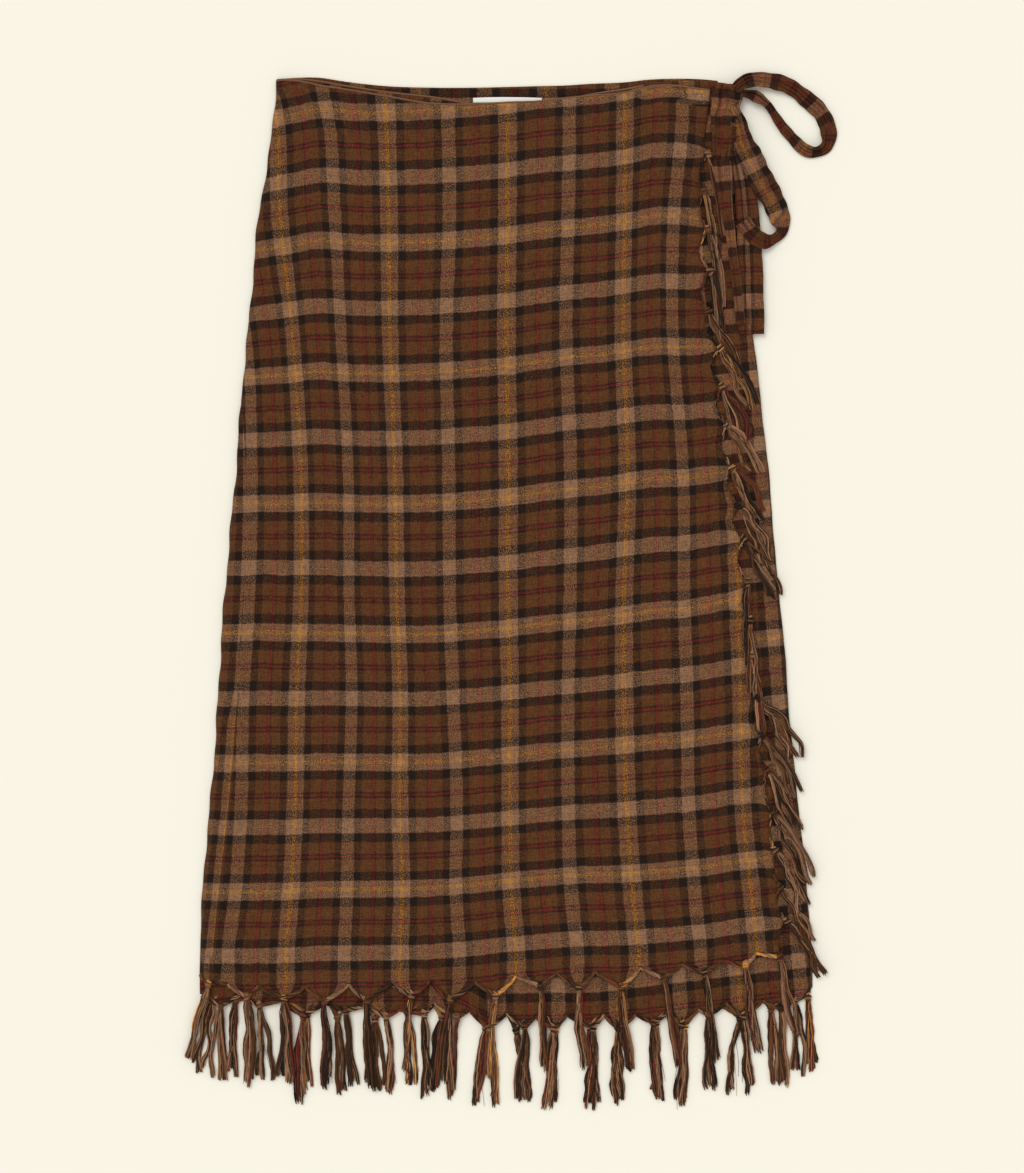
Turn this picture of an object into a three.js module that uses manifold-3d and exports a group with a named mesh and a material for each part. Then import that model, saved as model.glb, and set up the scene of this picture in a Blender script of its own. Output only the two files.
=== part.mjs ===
// A wrap skirt of checked cloth with knotted fringes, laid flat and tied in a bow at its side.
// Three walls of cloth lie on each other: the back, the under front and the over front. The over front
// is fringed down its free edge and along its hem, and the two walls below it are fringed along theirs.
// Millimetres. X runs across the skirt, Y from hem to waist, and Z up from the table.
import * as THREE from "three";
import { mergeVertices } from "three/addons/utils/BufferGeometryUtils.js";
import Module from "manifold-3d";

const wasm = await Module();
wasm.setup();

// ---- driving dimensions -------------------------------------------------------------------------
const CLOTH = 1.6; // one wall of cloth
const GAP = 0.3; // between walls, and at seams
const LEVEL = { back: 0, under: CLOTH + GAP, over: 2 * (CLOTH + GAP) }; // undersides of the walls
const FOLD_TURN = 5; // how far in from the side fold the over front turns down to the back
const UNDER_INSET = 7; // the under front stops short of that turn
const RIM = 2; // cloth left above the cusps of a scalloped edge
const GRID = { across: 26, down: 16, ease: 1.25 }; // cells of the over front, closer by the side fold
const WAIST_Y = 409; // where the sides end
const HEM_Y = -310;

// The side folds and the over front's free edge, from the waist down.
const SIDES = [
  { y: 410, left: -185.5, right: 167, wrap: 152 },
  { y: 376, left: -188, right: 174, wrap: 152 },
  { y: 344, left: -192, right: 179, wrap: 150 },
  { y: 312, left: -198, right: 183, wrap: 149 },
  { y: 248, left: -204.5, right: 190, wrap: 150 },
  { y: 204, left: -208.5, right: 196, wrap: 155 },
  { y: 152, left: -214, right: 202, wrap: 162 },
  { y: 88, left: -219, right: 209, wrap: 171 },
  { y: 24, left: -225, right: 214, wrap: 180 },
  { y: -40, left: -230, right: 220.5, wrap: 186 },
  { y: -104, left: -233.5, right: 225, wrap: 193 },
  { y: -168, left: -238, right: 231, wrap: 202 },
  { y: -232, left: -243.5, right: 237, wrap: 209 },
  { y: -310, left: -247, right: 243, wrap: 216 },
];

// The three waist edges, from the left fold to the right.
const WAISTS = [
  { x: -190, back: 409, under: 408, over: 408 },
  { x: -154, back: 410.5, under: 408.3, over: 405 },
  { x: -129, back: 407, under: 404, over: 401 },
  { x: -100, back: 403.8, under: 399.6, over: 396.2 },
  { x: -60, back: 402.4, under: 395, over: 389.8 },
  { x: -29, back: 402.4, under: 389.6, over: 389.2 },
  { x: 0, back: 403, under: 388.6, over: 390.6 },
  { x: 29, back: 403.8, under: 389.6, over: 392 },
  { x: 41, back: 404, under: 392.4, over: 393.6 },
  { x: 65, back: 405.5, under: 397.6, over: 396 },
  { x: 94, back: 406.8, under: 402, over: 398.7 },
  { x: 112, back: 407.6, under: 405.4, over: 403.2 },
  { x: 124, back: 408.4, under: 407, over: 404.4 },
  { x: 153, back: 409, under: 407.6, over: 401.6 },
  { x: 190, back: 407.5, under: 406, over: 398 },
];

// The three hems at their cusps, where the scallops meet.
const HEMS = [
  { x: -250, back: -313, under: -308, over: -313 },
  { x: -208, back: -325, under: -320, over: -316.5 },
  { x: -163, back: -330, under: -325, over: -317 },
  { x: -98, back: -335, under: -329, over: -316 },
  { x: -28, back: -336, under: -331, over: -312.5 },
  { x: 37, back: -340.5, under: -335, over: -306.5 },
  { x: 104, back: -339.5, under: -334, over: -302 },
  { x: 170, back: -331, under: -326, over: -296 },
  { x: 250, back: -324, under: -319, over: -286 },
];

// The over front's soft folds: each runs from one point to another, this high and half this wide. They
// swell from their ends, and are flat again within these shares of the cloth from its free edge and hem.
const FOLD_SWELL = 0.6;
const FOLD_CLEAR = { edge: 1 / 6, hem: 1 / 8 };
const FOLDS = [
  { fromX: -200, fromY: 60, toX: -236, toY: -300, high: 3.4, wide: 9 },
  { fromX: -150, fromY: 360, toX: -162, toY: -40, high: 3.2, wide: 20 },
  { fromX: -92, fromY: 300, toX: -84, toY: -180, high: 2.0, wide: 18 },
  { fromX: 118, fromY: 250, toX: 82, toY: -30, high: 3.6, wide: 12 },
  { fromX: 152, fromY: 392, toX: 128, toY: 250, high: 4.0, wide: 8 },
  { fromX: 146, fromY: 396, toX: 86, toY: 372, high: 2.6, wide: 8 },
  { fromX: 20, fromY: 120, toX: 34, toY: -270, high: 2.0, wide: 22 },
  { fromX: 160, fromY: 60, toX: 176, toY: -250, high: 2.6, wide: 14 },
];

// Knotted fringes: the first and last knot, how deep the scallops hang from cusp to knot, how high the
// knots stand, and how high the locks start.
const KNOT = { across: 5.4, top: 4.3, sides: 5, overhang: 0.5 };
const LOCK = { pitch: 1.2, root: 1, wide: 2.6, high: 1.3, steps: 2 };
const UNEVEN = { lean: 4, tassel: 0.07, lock: 0.09, sway: 2 }; // degrees, shares of the length, and mm
const DIPS = 4; // straight stretches from knot to knot
const END_LIP = { long: 4.5, share: 0.55 }; // scalloped strip beyond its first and last knot
const HEM_FRINGES = {
  over: {
    first: -238, last: 215, tassels: 15, depth: 11, knot: 3, lift: 0.15, phase: 0,
    locks: 4, long: 76, spread: 3.4, cornerLean: -13,
  },
  under: {
    first: -222, last: 230, tassels: 14, depth: 9, knot: CLOTH, lift: 0.15, phase: 2,
    locks: 3, long: 60, spread: 3.3,
  },
  back: {
    first: -236, last: 236, tassels: 15, depth: 10, knot: CLOTH - GAP, lift: 0, phase: 5,
    locks: 3, long: 62, spread: 3.4,
  },
};
const EDGE_FRINGE = {
  first: 349, last: -265.5, tassels: 21, depth: 7, knot: 3.2, lift: CLOTH + 0.1, phase: 20,
  locks: 3, long: 86, spread: 3, climb: 0.062,
  hangs: 5, leanTop: 3, leanMiddle: 16, leanFoot: 24,
};

// The strap of the bow: centre line, width and height of its underside, from the knot outwards.
const STRAP = { thick: 1.6, flat: 0.72, cuts: 2 }; // flat share of its faces, and rings from row to row
const BOW = {
  bow_knot: { thick: 6, rows: [
    { x: 176.5, y: 403, z: LEVEL.over, wide: 20 },
    { x: 176, y: 388, z: LEVEL.over, wide: 21 },
    { x: 177, y: 372, z: LEVEL.over, wide: 20 },
    { x: 178, y: 355, z: LEVEL.over, wide: 16 },
  ] },
  bow_loop_upper: { thick: 2.6, rows: [
    { x: 187, y: 403.5, z: 5.4, wide: 8 },
    { x: 197, y: 408, z: 4.6, wide: 11.5 },
    { x: 214, y: 406.5, z: 3, wide: 12 },
    { x: 230.5, y: 399.5, z: 1.6, wide: 11.7 },
    { x: 247, y: 385.5, z: 0.6, wide: 11.5 },
    { x: 256.5, y: 369, z: 0.4, wide: 11 },
    { x: 255, y: 356.5, z: 0.4, wide: 9 },
    { x: 245.5, y: 350.8, z: 0.4, wide: 8 },
    { x: 235.5, y: 353.4, z: 0.4, wide: 8 },
    { x: 226, y: 363, z: 0.6, wide: 8 },
    { x: 214, y: 378.5, z: 1.8, wide: 7.6 },
    { x: 203, y: 391, z: 3.6, wide: 7.4 },
    { x: 187.4, y: 395.5, z: 5.2, wide: 6 },
  ] },
  bow_loop_lower: { thick: 2, rows: [
    { x: 190.4, y: 371, z: 6, wide: 5 },
    { x: 194, y: 360, z: 6.8, wide: 10 },
    { x: 197, y: 346, z: 7.2, wide: 18 },
    { x: 203.5, y: 331, z: 7, wide: 20 },
    { x: 212.5, y: 312, z: 6.4, wide: 20 },
    { x: 219.3, y: 296, z: 6, wide: 15 },
    { x: 219, y: 286.5, z: 6, wide: 9 },
    { x: 212, y: 281.5, z: 6, wide: 8 },
    { x: 203, y: 280.5, z: 6, wide: 12 },
    { x: 190, y: 286, z: 6, wide: 14 },
  ] },
  tail_square: { thick: STRAP.thick, rows: [
    { x: 185, y: 354.6, z: LEVEL.over, wide: 10 },
    { x: 188.5, y: 340, z: LEVEL.over, wide: 13 },
    { x: 191, y: 312, z: LEVEL.over, wide: 17 },
    { x: 194, y: 262, z: LEVEL.over, wide: 20 },
    { x: 194.5, y: 205, z: LEVEL.over, wide: 21 },
  ] },
  tail_narrow: { thick: STRAP.thick, rows: [
    { x: 175.5, y: 354.6, z: LEVEL.over + CLOTH + GAP, wide: 14 },
    { x: 176, y: 318, z: LEVEL.over + CLOTH + GAP, wide: 14 },
    { x: 180, y: 284, z: LEVEL.over + CLOTH + GAP, wide: 10 },
    { x: 184, y: 248, z: LEVEL.over + CLOTH + GAP, wide: 9 },
    { x: 186, y: 214, z: LEVEL.over + CLOTH + GAP, wide: 8 },
  ] },
};

const LABEL = { x: -0.5, top: 394.4, wide: 51, high: 4.3, thick: 0.8 };

const COLOURS = {
  cloth: "#7a5034", fringe: "#6a4a36", strap: "#75503a", label: "#efece0",
};

// ---- shapes -------------------------------------------------------------------------------------
const { lerp, degToRad } = THREE.MathUtils;
const rough = (n) => THREE.MathUtils.euclideanModulo(Math.sin(n * 12.9898) * 43758.5453, 1) * 2 - 1;

// A value of a table at any place along it, on straight lines between its rows.
function read(rows, key, at, by) {
  const up = rows[1][by] > rows[0][by] ? 1 : -1;
  let i = rows.findIndex((row) => up * row[by] > up * at);
  i = i < 0 ? rows.length - 1 : Math.max(i, 1);
  const share = THREE.MathUtils.clamp((at - rows[i - 1][by]) / (rows[i][by] - rows[i - 1][by]), 0, 1);
  return lerp(rows[i - 1][key], rows[i][key], share);
}
const side = (key, y) => read(SIDES, key, y, "y");
const waist = (key, x) => read(WAISTS, key, x, "x");
const cusps = (key, x) => read(HEMS, key, x, "x");
const steps = (from, to, count) => Array.from({ length: count + 1 }, (_, i) => lerp(from, to, i / count));

// How high the over front's folds stand at a point.
function foldHeight(x, y) {
  let high = 0;
  for (const f of FOLDS) {
    const along = new THREE.Vector2(f.toX - f.fromX, f.toY - f.fromY);
    const from = new THREE.Vector2(x - f.fromX, y - f.fromY);
    const share = from.dot(along) / along.lengthSq();
    const off = Math.abs(from.cross(along)) / along.length();
    const taper = Math.sin(Math.PI * THREE.MathUtils.clamp(share, 0, 1)) ** FOLD_SWELL;
    high += f.high * taper * Math.exp(-((off / f.wide) ** 2));
  }
  return high;
}

// A closed wall between two grids of points: the grid's points lie over each other in pairs.
function wall(columns, rows, top, under) {
  const points = [];
  const faces = [];
  const at = (layer, i, j) => layer * (columns + 1) * (rows + 1) + j * (columns + 1) + i;
  for (const place of [top, under])
    for (let j = 0; j <= rows; j++)
      for (let i = 0; i <= columns; i++) points.push(...place(i / columns, j / rows));
  const quad = (a, b, c, d) => faces.push(a, b, c, a, c, d);
  for (let j = 0; j < rows; j++)
    for (let i = 0; i < columns; i++) {
      quad(at(0, i, j + 1), at(0, i + 1, j + 1), at(0, i + 1, j), at(0, i, j));
      quad(at(1, i, j), at(1, i + 1, j), at(1, i + 1, j + 1), at(1, i, j + 1));
    }
  for (let i = 0; i < columns; i++) {
    quad(at(0, i, 0), at(0, i + 1, 0), at(1, i + 1, 0), at(1, i, 0));
    quad(at(0, i + 1, rows), at(0, i, rows), at(1, i, rows), at(1, i + 1, rows));
  }
  for (let j = 0; j < rows; j++) {
    quad(at(0, 0, j + 1), at(0, 0, j), at(1, 0, j), at(1, 0, j + 1));
    quad(at(0, columns, j), at(0, columns, j + 1), at(1, columns, j + 1), at(1, columns, j));
  }
  return new THREE.BufferGeometry()
    .setAttribute("position", new THREE.Float32BufferAttribute(points, 3))
    .setIndex(faces);
}

// A flat plate of an outline, its underside at the given height.
function plate(outline, thick, z) {
  const shape = new THREE.Shape(outline.map(([x, y]) => new THREE.Vector2(x, y)));
  return new THREE.ExtrudeGeometry(shape, { depth: thick, bevelEnabled: false }).translate(0, 0, z);
}

// A flat lower wall, from its waist edge round the folds to its hem.
function lowerWall(key, inset) {
  const left = (y) => side("left", y) + inset;
  const right = (y) => side("right", y) - GAP;
  const hem = (x) => cusps(key, x) + RIM + GAP;
  const within = (rows, y) => rows.map((row) => row.x).filter((x) => x > left(y) && x < right(y));
  const heights = SIDES.map((row) => row.y).slice(1, -1);
  const top = [left(WAIST_Y), ...within(WAISTS, WAIST_Y), right(WAIST_Y)];
  const foot = [left(HEM_Y), ...within(HEMS, HEM_Y), right(HEM_Y)];
  return [
    ...top.map((x) => [x, waist(key, x)]),
    ...heights.map((y) => [right(y), y]),
    ...foot.reverse().map((x) => [x, hem(x)]),
    ...heights.reverse().map((y) => [left(y), y]),
  ];
}

// Where the over front is in plan: from its left fold to its free edge, and from its waist to its hem.
function overPlan(s, t) {
  const across = s ** GRID.ease;
  const top = waist("over", lerp(side("left", WAIST_Y), side("wrap", WAIST_Y), across));
  const foot = cusps("over", lerp(side("left", HEM_Y), side("wrap", HEM_Y), across)) + RIM + GAP;
  const y = lerp(top, foot, t);
  return { x: lerp(side("left", y), side("wrap", y), across), y };
}
const freeEdge = steps(0, 1, GRID.down).map((t) => overPlan(1, t));
const overHem = steps(0, 1, GRID.across).map((s) => overPlan(s, 1));

// The over front, with its folds, turned down at the left fold to meet the back.
function overFront() {
  const place = (lift) => (s, t) => {
    const { x, y } = overPlan(s, t);
    const turn = Math.min(1, (x - side("left", y)) / FOLD_TURN);
    const clear = Math.min(1, (1 - s) / FOLD_CLEAR.edge) * Math.min(1, (1 - t) / FOLD_CLEAR.hem);
    return [x, y, lerp(LEVEL.under, LEVEL.over, Math.sqrt(turn)) + turn * clear * foldHeight(x, y) + lift];
  };
  return wall(GRID.across, GRID.down, place(CLOTH), place(0));
}

// manifold-3d's solid of a geometry, and the way back.
function solid(geometry) {
  const loose = geometry.index ? geometry.toNonIndexed() : geometry;
  const bare = new THREE.BufferGeometry().setAttribute("position", loose.getAttribute("position"));
  const merged = mergeVertices(bare, 1e-3);
  return new wasm.Manifold(new wasm.Mesh({
    numProp: 3,
    vertProperties: merged.attributes.position.array,
    triVerts: new Uint32Array(merged.index.array),
  }));
}
function fused(geometries) {
  const mesh = wasm.Manifold.union(geometries.map(solid)).getMesh();
  return new THREE.BufferGeometry()
    .setAttribute("position", new THREE.Float32BufferAttribute(mesh.vertProperties, 3))
    .setIndex(new THREE.BufferAttribute(mesh.triVerts, 1));
}

// Rings of points along a line, joined into one closed skin.
function skin(rings) {
  const sides = rings[0].length;
  const faces = [];
  rings.slice(1).forEach((_, k) => {
    for (let i = 0; i < sides; i++) {
      const a = k * sides + i;
      const b = k * sides + ((i + 1) % sides);
      faces.push(b, a, b + sides, b + sides, a, a + sides);
    }
  });
  const last = (rings.length - 1) * sides;
  for (let i = 1; i < sides - 1; i++) faces.push(0, i, i + 1, last, last + i + 1, last + i);
  return new THREE.BufferGeometry()
    .setAttribute("position", new THREE.Float32BufferAttribute(rings.flat(2), 3))
    .setIndex(faces);
}

// A knot and the locks of yarn that hang from it, close at the knot and fanned out at their ends.
function tassel({ x, y, z, knot, lift, lean, long, locks, spread, climb = 0, seed }) {
  const down = new THREE.Vector2(0, -1).rotateAround(new THREE.Vector2(), degToRad(lean));
  const across = new THREE.Vector2(-down.y, down.x);
  const at = (along, off) => [x + down.x * along + across.x * off, y + down.y * along + across.y * off];
  const pieces = [
    new THREE.CylinderGeometry(KNOT.top / 2, KNOT.across / 2, knot, KNOT.sides)
      .rotateX(Math.PI / 2)
      .translate(x, y, z + knot / 2),
  ];
  const sway = UNEVEN.sway * rough(seed * 1.7);
  for (let i = 0; i < locks; i++) {
    const place = i - (locks - 1) / 2;
    const length = long * (1 + UNEVEN.lock * rough(seed + i * 3.7));
    pieces.push(skin(steps(0, 1, LOCK.steps).map((t) => {
      const off = place * lerp(LOCK.pitch, spread, Math.min(1, 1.5 * t)) + sway * Math.sin(3 * t);
      const half = lerp(LOCK.root, LOCK.wide, Math.min(1, 2 * t)) / 2;
      const base = z + lift + climb * length * t;
      return [
        [...at(length * t, off - half), base],
        [...at(length * t, off), base + LOCK.high],
        [...at(length * t, off + half), base],
      ];
    })));
  }
  return pieces;
}

// Where the knots of a fringe are, and the points of its scalloped edge: how far along, and the share of
// the depth there, which is all of it at a knot and none at the cusps between.
function scallops({ first, last, tassels }) {
  const pitch = (last - first) / (tassels - 1);
  const lip = Math.sign(pitch) * END_LIP.long;
  const round = (i) => {
    const fromCusp = (i / DIPS + 0.5) % 1;
    return 4 * fromCusp * (1 - fromCusp);
  };
  return {
    knots: steps(first, last, tassels - 1),
    edge: [
      { at: first - lip, share: END_LIP.share },
      ...steps(first, last, (tassels - 1) * DIPS).map((at, i) => ({ at, share: round(i) })),
      { at: last + lip, share: END_LIP.share },
    ],
  };
}

// A fringe along a hem: a scalloped strip just below the wall's edge, with a tassel at each tip.
function hemFringe(key) {
  const fringe = HEM_FRINGES[key];
  const { knots, edge } = scallops(fringe);
  const base = key === "back" ? GAP : LEVEL[key]; // the lowest fringe ends just above the table
  const seam = (x) => (key === "over" ? read(overHem, "y", x, "x") - GAP : cusps(key, x) + RIM);
  const bends = (key === "over" ? overHem : HEMS).map((row) => row.x);
  const upper = [...bends.filter((x) => x > edge[0].at && x < edge.at(-1).at), edge.at(-1).at];
  const outline = [
    ...edge.map(({ at, share }) => [at, cusps(key, at) - fringe.depth * share]),
    ...upper.reverse().map((x) => [x, seam(x)]),
    [edge[0].at, seam(edge[0].at)],
  ];
  return fused([
    plate(outline, LEVEL[key] + CLOTH - base, base),
    ...knots.flatMap((x, k) => tassel({
      ...fringe,
      x,
      y: cusps(key, x) - fringe.depth - KNOT.overhang,
      z: base,
      lean: (k === 0 && fringe.cornerLean || 0) + UNEVEN.lean * rough(k * 2.3 + fringe.phase),
      long: fringe.long * (1 + UNEVEN.tassel * rough(k + fringe.phase * 3)),
      seed: k + fringe.phase,
    })),
  ]);
}

// The fringe down the over front's free edge. Its tassels are combed down and lie on each other like tiles.
function edgeFringe() {
  const fringe = EDGE_FRINGE;
  const { knots, edge } = scallops(fringe);
  const seam = (y) => read(freeEdge, "x", y, "y") + GAP;
  const heights = freeEdge.map((row) => row.y).filter((y) => y < edge[0].at && y > edge.at(-1).at);
  const outline = [
    ...edge.map(({ at, share }) => [seam(at) + RIM + fringe.depth * share, at]),
    [seam(edge.at(-1).at), edge.at(-1).at],
    ...heights.reverse().map((y) => [seam(y), y]),
    [seam(edge[0].at), edge[0].at],
  ];
  return fused([
    plate(outline, CLOTH, LEVEL.over),
    ...knots.flatMap((y, k) => tassel({
      ...fringe,
      x: seam(y) + RIM + fringe.depth + KNOT.overhang,
      y,
      z: LEVEL.over,
      lean: k < fringe.hangs ? fringe.leanTop : lerp(fringe.leanMiddle, fringe.leanFoot, k / fringe.tassels),
      long: fringe.long * (1 + UNEVEN.tassel * rough(k * 1.9)),
      seed: k + fringe.phase,
    })),
  ]);
}

// A length of strap with a soft rounded section, along its centre line.
function strap({ rows, thick }) {
  const curve = new THREE.CatmullRomCurve3(rows.map((row) => new THREE.Vector3(row.x, row.y, row.z)));
  const rings = steps(0, 1, STRAP.cuts * (rows.length - 1)).map((t) => {
    const centre = curve.getPoint(t);
    const way = curve.getTangent(t).setZ(0).normalize();
    const cell = Math.min(Math.floor(t * (rows.length - 1)), rows.length - 2);
    const half = lerp(rows[cell].wide, rows[cell + 1].wide, t * (rows.length - 1) - cell) / 2;
    const { flat } = STRAP;
    return [[-1, 0.5], [-flat, 0], [flat, 0], [1, 0.5], [flat, 1], [-flat, 1]].map(([off, up]) => [
      centre.x + way.y * half * off, centre.y - way.x * half * off, centre.z + thick * up,
    ]);
  });
  return skin(rings);
}

// The blank label inside the back of the waist.
function label() {
  return new THREE.BoxGeometry(LABEL.wide, LABEL.high, LABEL.thick)
    .translate(LABEL.x, LABEL.top - LABEL.high / 2, CLOTH + GAP + LABEL.thick / 2);
}

// ---- the skirt ----------------------------------------------------------------------------------
const skirt = new THREE.Group();
function add(name, geometry, colour) {
  const material = new THREE.MeshStandardMaterial({ color: colour, roughness: 0.92, metalness: 0 });
  const mesh = new THREE.Mesh(geometry, material);
  mesh.name = name;
  skirt.add(mesh);
}

add("back_panel", plate(lowerWall("back", 0), CLOTH, LEVEL.back), COLOURS.cloth);
add("under_front", plate(lowerWall("under", UNDER_INSET), CLOTH, LEVEL.under), COLOURS.cloth);
add("over_front", overFront(), COLOURS.cloth);
add("waist_label", label(), COLOURS.label);
for (const [name, piece] of Object.entries(BOW)) add(name, strap(piece), COLOURS.strap);
add("over_edge_fringe", edgeFringe(), COLOURS.fringe);
for (const key of ["over", "under", "back"]) add(`${key}_hem_fringe`, hemFringe(key), COLOURS.fringe);

// The origin is under the middle of the whole skirt, on the table.
const box = new THREE.Box3().setFromObject(skirt, true);
const middle = box.getCenter(new THREE.Vector3());
skirt.position.set(-middle.x, -middle.y, -box.min.z);

export default skirt;
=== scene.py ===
"""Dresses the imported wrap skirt: its three walls of check cloth, the knotted yarn fringes, the
strap tied in a bow and the blank label, laid flat on a pale floor.

Sizes in the tables are millimetres in the skirt's own plan, where X runs across and Y from hem to
waist.
"""

import math

import bpy
import numpy as np
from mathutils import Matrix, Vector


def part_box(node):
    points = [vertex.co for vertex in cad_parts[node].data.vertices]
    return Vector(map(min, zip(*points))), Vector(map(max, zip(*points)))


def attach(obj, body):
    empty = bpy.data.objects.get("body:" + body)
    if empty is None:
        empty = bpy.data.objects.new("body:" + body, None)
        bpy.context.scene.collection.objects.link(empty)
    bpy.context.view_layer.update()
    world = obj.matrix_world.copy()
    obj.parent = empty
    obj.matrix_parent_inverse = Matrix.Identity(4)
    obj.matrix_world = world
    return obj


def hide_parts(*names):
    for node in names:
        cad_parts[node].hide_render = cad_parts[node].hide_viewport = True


bl_info = {
    "name": "Fringed wrap skirt",
    "version": (1, 0, 0),
    "blender": (4, 5, 0),
    "location": "View3D > Sidebar > Skirt",
    "description": "Dresses a flat-laid wrap skirt in check cloth, knotted fringes and a strap",
    "category": "Add Mesh",
}

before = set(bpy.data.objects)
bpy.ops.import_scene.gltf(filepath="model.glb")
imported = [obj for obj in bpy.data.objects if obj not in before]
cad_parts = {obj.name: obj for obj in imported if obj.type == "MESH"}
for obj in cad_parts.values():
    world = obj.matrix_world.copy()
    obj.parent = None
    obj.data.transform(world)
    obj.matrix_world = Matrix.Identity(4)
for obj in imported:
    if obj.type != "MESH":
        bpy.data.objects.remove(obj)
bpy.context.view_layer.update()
MM = 0.001
CLEAR = 0.05  # millimetres between the lowest pieces and the surface below


def table(columns, *rows):
    """Rows as dicts by the names of their columns. A short row leaves the last ones out."""
    return [dict(zip(columns.split(), row)) for row in rows]


# ---- the skirt in plan ----

# The side folds and the over front's free edge at its cusps, from the waist down.
SIDES = table(
    "y left right wrap",
    (410, -185.5, 167, 160), (376, -188, 174, 157), (344, -192, 179, 151), (312, -198, 183, 150),
    (248, -204.5, 190, 151), (204, -208.5, 196, 156), (152, -214, 202, 163), (88, -219, 209, 172),
    (24, -225, 214, 181), (-40, -230, 220.5, 187), (-104, -233.5, 225, 194),
    (-168, -238, 231, 203), (-232, -243.5, 237, 210), (-310, -247, 243, 217),
)
WANDERS = {"left": 1.0, "right": 0.4, "wrap": 0.0}  # how much each wanders from that
WANDER = ((0.55, 0.083, 0), (0.35, 0.21, 1))  # height, pace and phase of its waves
# The three waist edges.
WAISTS = table(
    "x back under over",
    (-190, 409, 408.6, 408), (-166, 410.5, 409.6, 408), (-154, 410.5, 408.3, 405),
    (-129, 407, 404, 401), (-100, 403.8, 399.6, 396.2), (-60, 402.4, 395, 389.8),
    (-29, 402.4, 389.6, 389.2), (0, 403, 388.6, 390.6), (29, 403.8, 389.6, 392),
    (41, 404, 392.4, 393.6), (65, 405.5, 397.6, 396), (94, 406.8, 402, 398.7),
    (112, 408.8, 405.4, 403.2), (124, 409.4, 407, 404.4), (153, 409.2, 407.6, 401.6),
    (190, 405, 405, 398),
)
# The over front's hem: its knots, and the cusp to the right of each.
OVER_HEM = table(
    "x y cusp_x cusp_y lean full",
    (-239.6, -314.4, -224.4, -315, -10, 2), (-209.2, -324.8, -200, -316, -3, 1.2),
    (-179.6, -326.4, -162.8, -317.2, -3, 1.8), (-146.8, -328, -127.6, -315.2, 2, 1.5),
    (-113.2, -328, -94.8, -313.6, 3), (-77.6, -323.6, -62.8, -312.5, 2),
    (-46.8, -327.2, -26.8, -312.8, 1, 1.3), (-10, -323.6, 6, -308.4, -2),
    (25.2, -316, 38, -305.6, 1, 0.8), (56.4, -317.6, 69.2, -304.8, 9, 0.8),
    (90, -316.8, 105.2, -301.6, 9, 1.1), (123.6, -309.6, 138, -299.2, 8),
    (156.4, -305.6, 170, -296, 4), (189.2, -299.2, 198, -290.4, 8),
    (216.4, -293.2, 219, -287, 11, 1.5),
)
# The under front's hem, which shows below the over front's.
UNDER_HEM = table(
    "x y cusp_x cusp_y lean full",
    (-230, -332, -214.8, -324, -2, 1.7), (-199.6, -332, -182, -328.8, 0, 1.5),
    (-164.4, -340, -146.8, -330.4, 1, 1.3), (-130, -336.2, -114, -332.8),
    (-98, -341.2, -87.6, -336), (-67.6, -339.2, -59.6, -331.2), (-41.2, -341.6, -31.2, -336),
    (-16, -349.6, -2, -339.2), (13.2, -349, 21.6, -341.2, -1, 1.2),
    (35.6, -350.4, 46.8, -340, -7, 1), (67.6, -349.6, 76.4, -339.7, -5, 1.1),
    (87.6, -350.4, 102, -339.7, 3), (115.6, -345.8, 128.4, -337.6, 7, 1.2),
    (138.8, -347.6, 151.6, -335.7, 3), (160, -340, 174, -330.4, 2),
    (187.6, -341, 203.2, -328.8, 6), (218, -334.8, 242, -322, 1, 1.3),
)
# The back's hem, of which little shows.
BACK_HEM = table(
    "x y cusp_x cusp_y lean full",
    (-236.8, -328.4, -229, -322, -7, 1.1), (-218.4, -328, -192, -325, 1, 1.5),
    (-161, -339, -150, -325), (-137.2, -342, -122, -327), (-106.8, -343.6, -92, -329),
    (-80.4, -341, -66, -328), (-53.2, -342.4, -36, -331), (-18.4, -350, -6, -335),
    (6, -352.4, 22, -335), (38, -351.4, 52, -335), (65, -350.4, 78, -335), (90, -351, 104, -334),
    (118, -347, 130, -333), (141, -348.4, 162, -331), (185.2, -342, 198, -325),
    (210, -335, 222, -326), (229, -329, 234.5, -324, -1, 1.5), (239.6, -326, 243.5, -318, 3, 1.5),
)
# The knots down the over front's free edge.
EDGE_KNOTS = table(
    "x y lean",
    (159.6, 348.8), (156.4, 319.2), (159.6, 288), (161.2, 255.2), (159.6, 223.2), (169.2, 193.6),
    (170.8, 162.4), (174.8, 132), (178.8, 97.6), (183.6, 67.2), (188.4, 40.8), (191.6, 6.4, 2),
    (193.2, -24, 1), (194.8, -52, 6), (198.8, -86.4), (202.8, -116), (206.8, -144),
    (211.6, -178.4), (213.2, -208), (217.2, -237.6), (222.8, -264.8),
)

LABEL_SPAN = (-28.4, 26.8)  # the label's two ends

# ---- the check ----

# One repeat of the check, from the middle of a mustard line to the next, as widths of colour.
WARP = [
    ("mustard", 2.0), ("tan", 6.9), ("dark", 7.6), ("brown", 11.3), ("line", 1.3), ("red", 4.5),
    ("brown", 10.8), ("dark", 7.6), ("tan", 12.8), ("dark", 7.6), ("brown", 9.9), ("red", 4.5),
    ("line", 1.3), ("brown", 9.9), ("dark", 8.0), ("tan", 6.7), ("mustard", 2.0),
]
WEFT = [
    ("ochre", 2.0), ("fawn", 6.7), ("dark", 9.4), ("brown", 12.1), ("line", 2.85), ("red", 1.3),
    ("line", 2.85), ("brown", 11.2), ("dark", 9.4), ("fawn", 15.2), ("dark", 9.4), ("brown", 11.2),
    ("line", 2.85), ("red", 1.3), ("line", 2.85), ("brown", 12.1), ("dark", 9.4), ("fawn", 6.7),
    ("ochre", 2.0),
]
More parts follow.
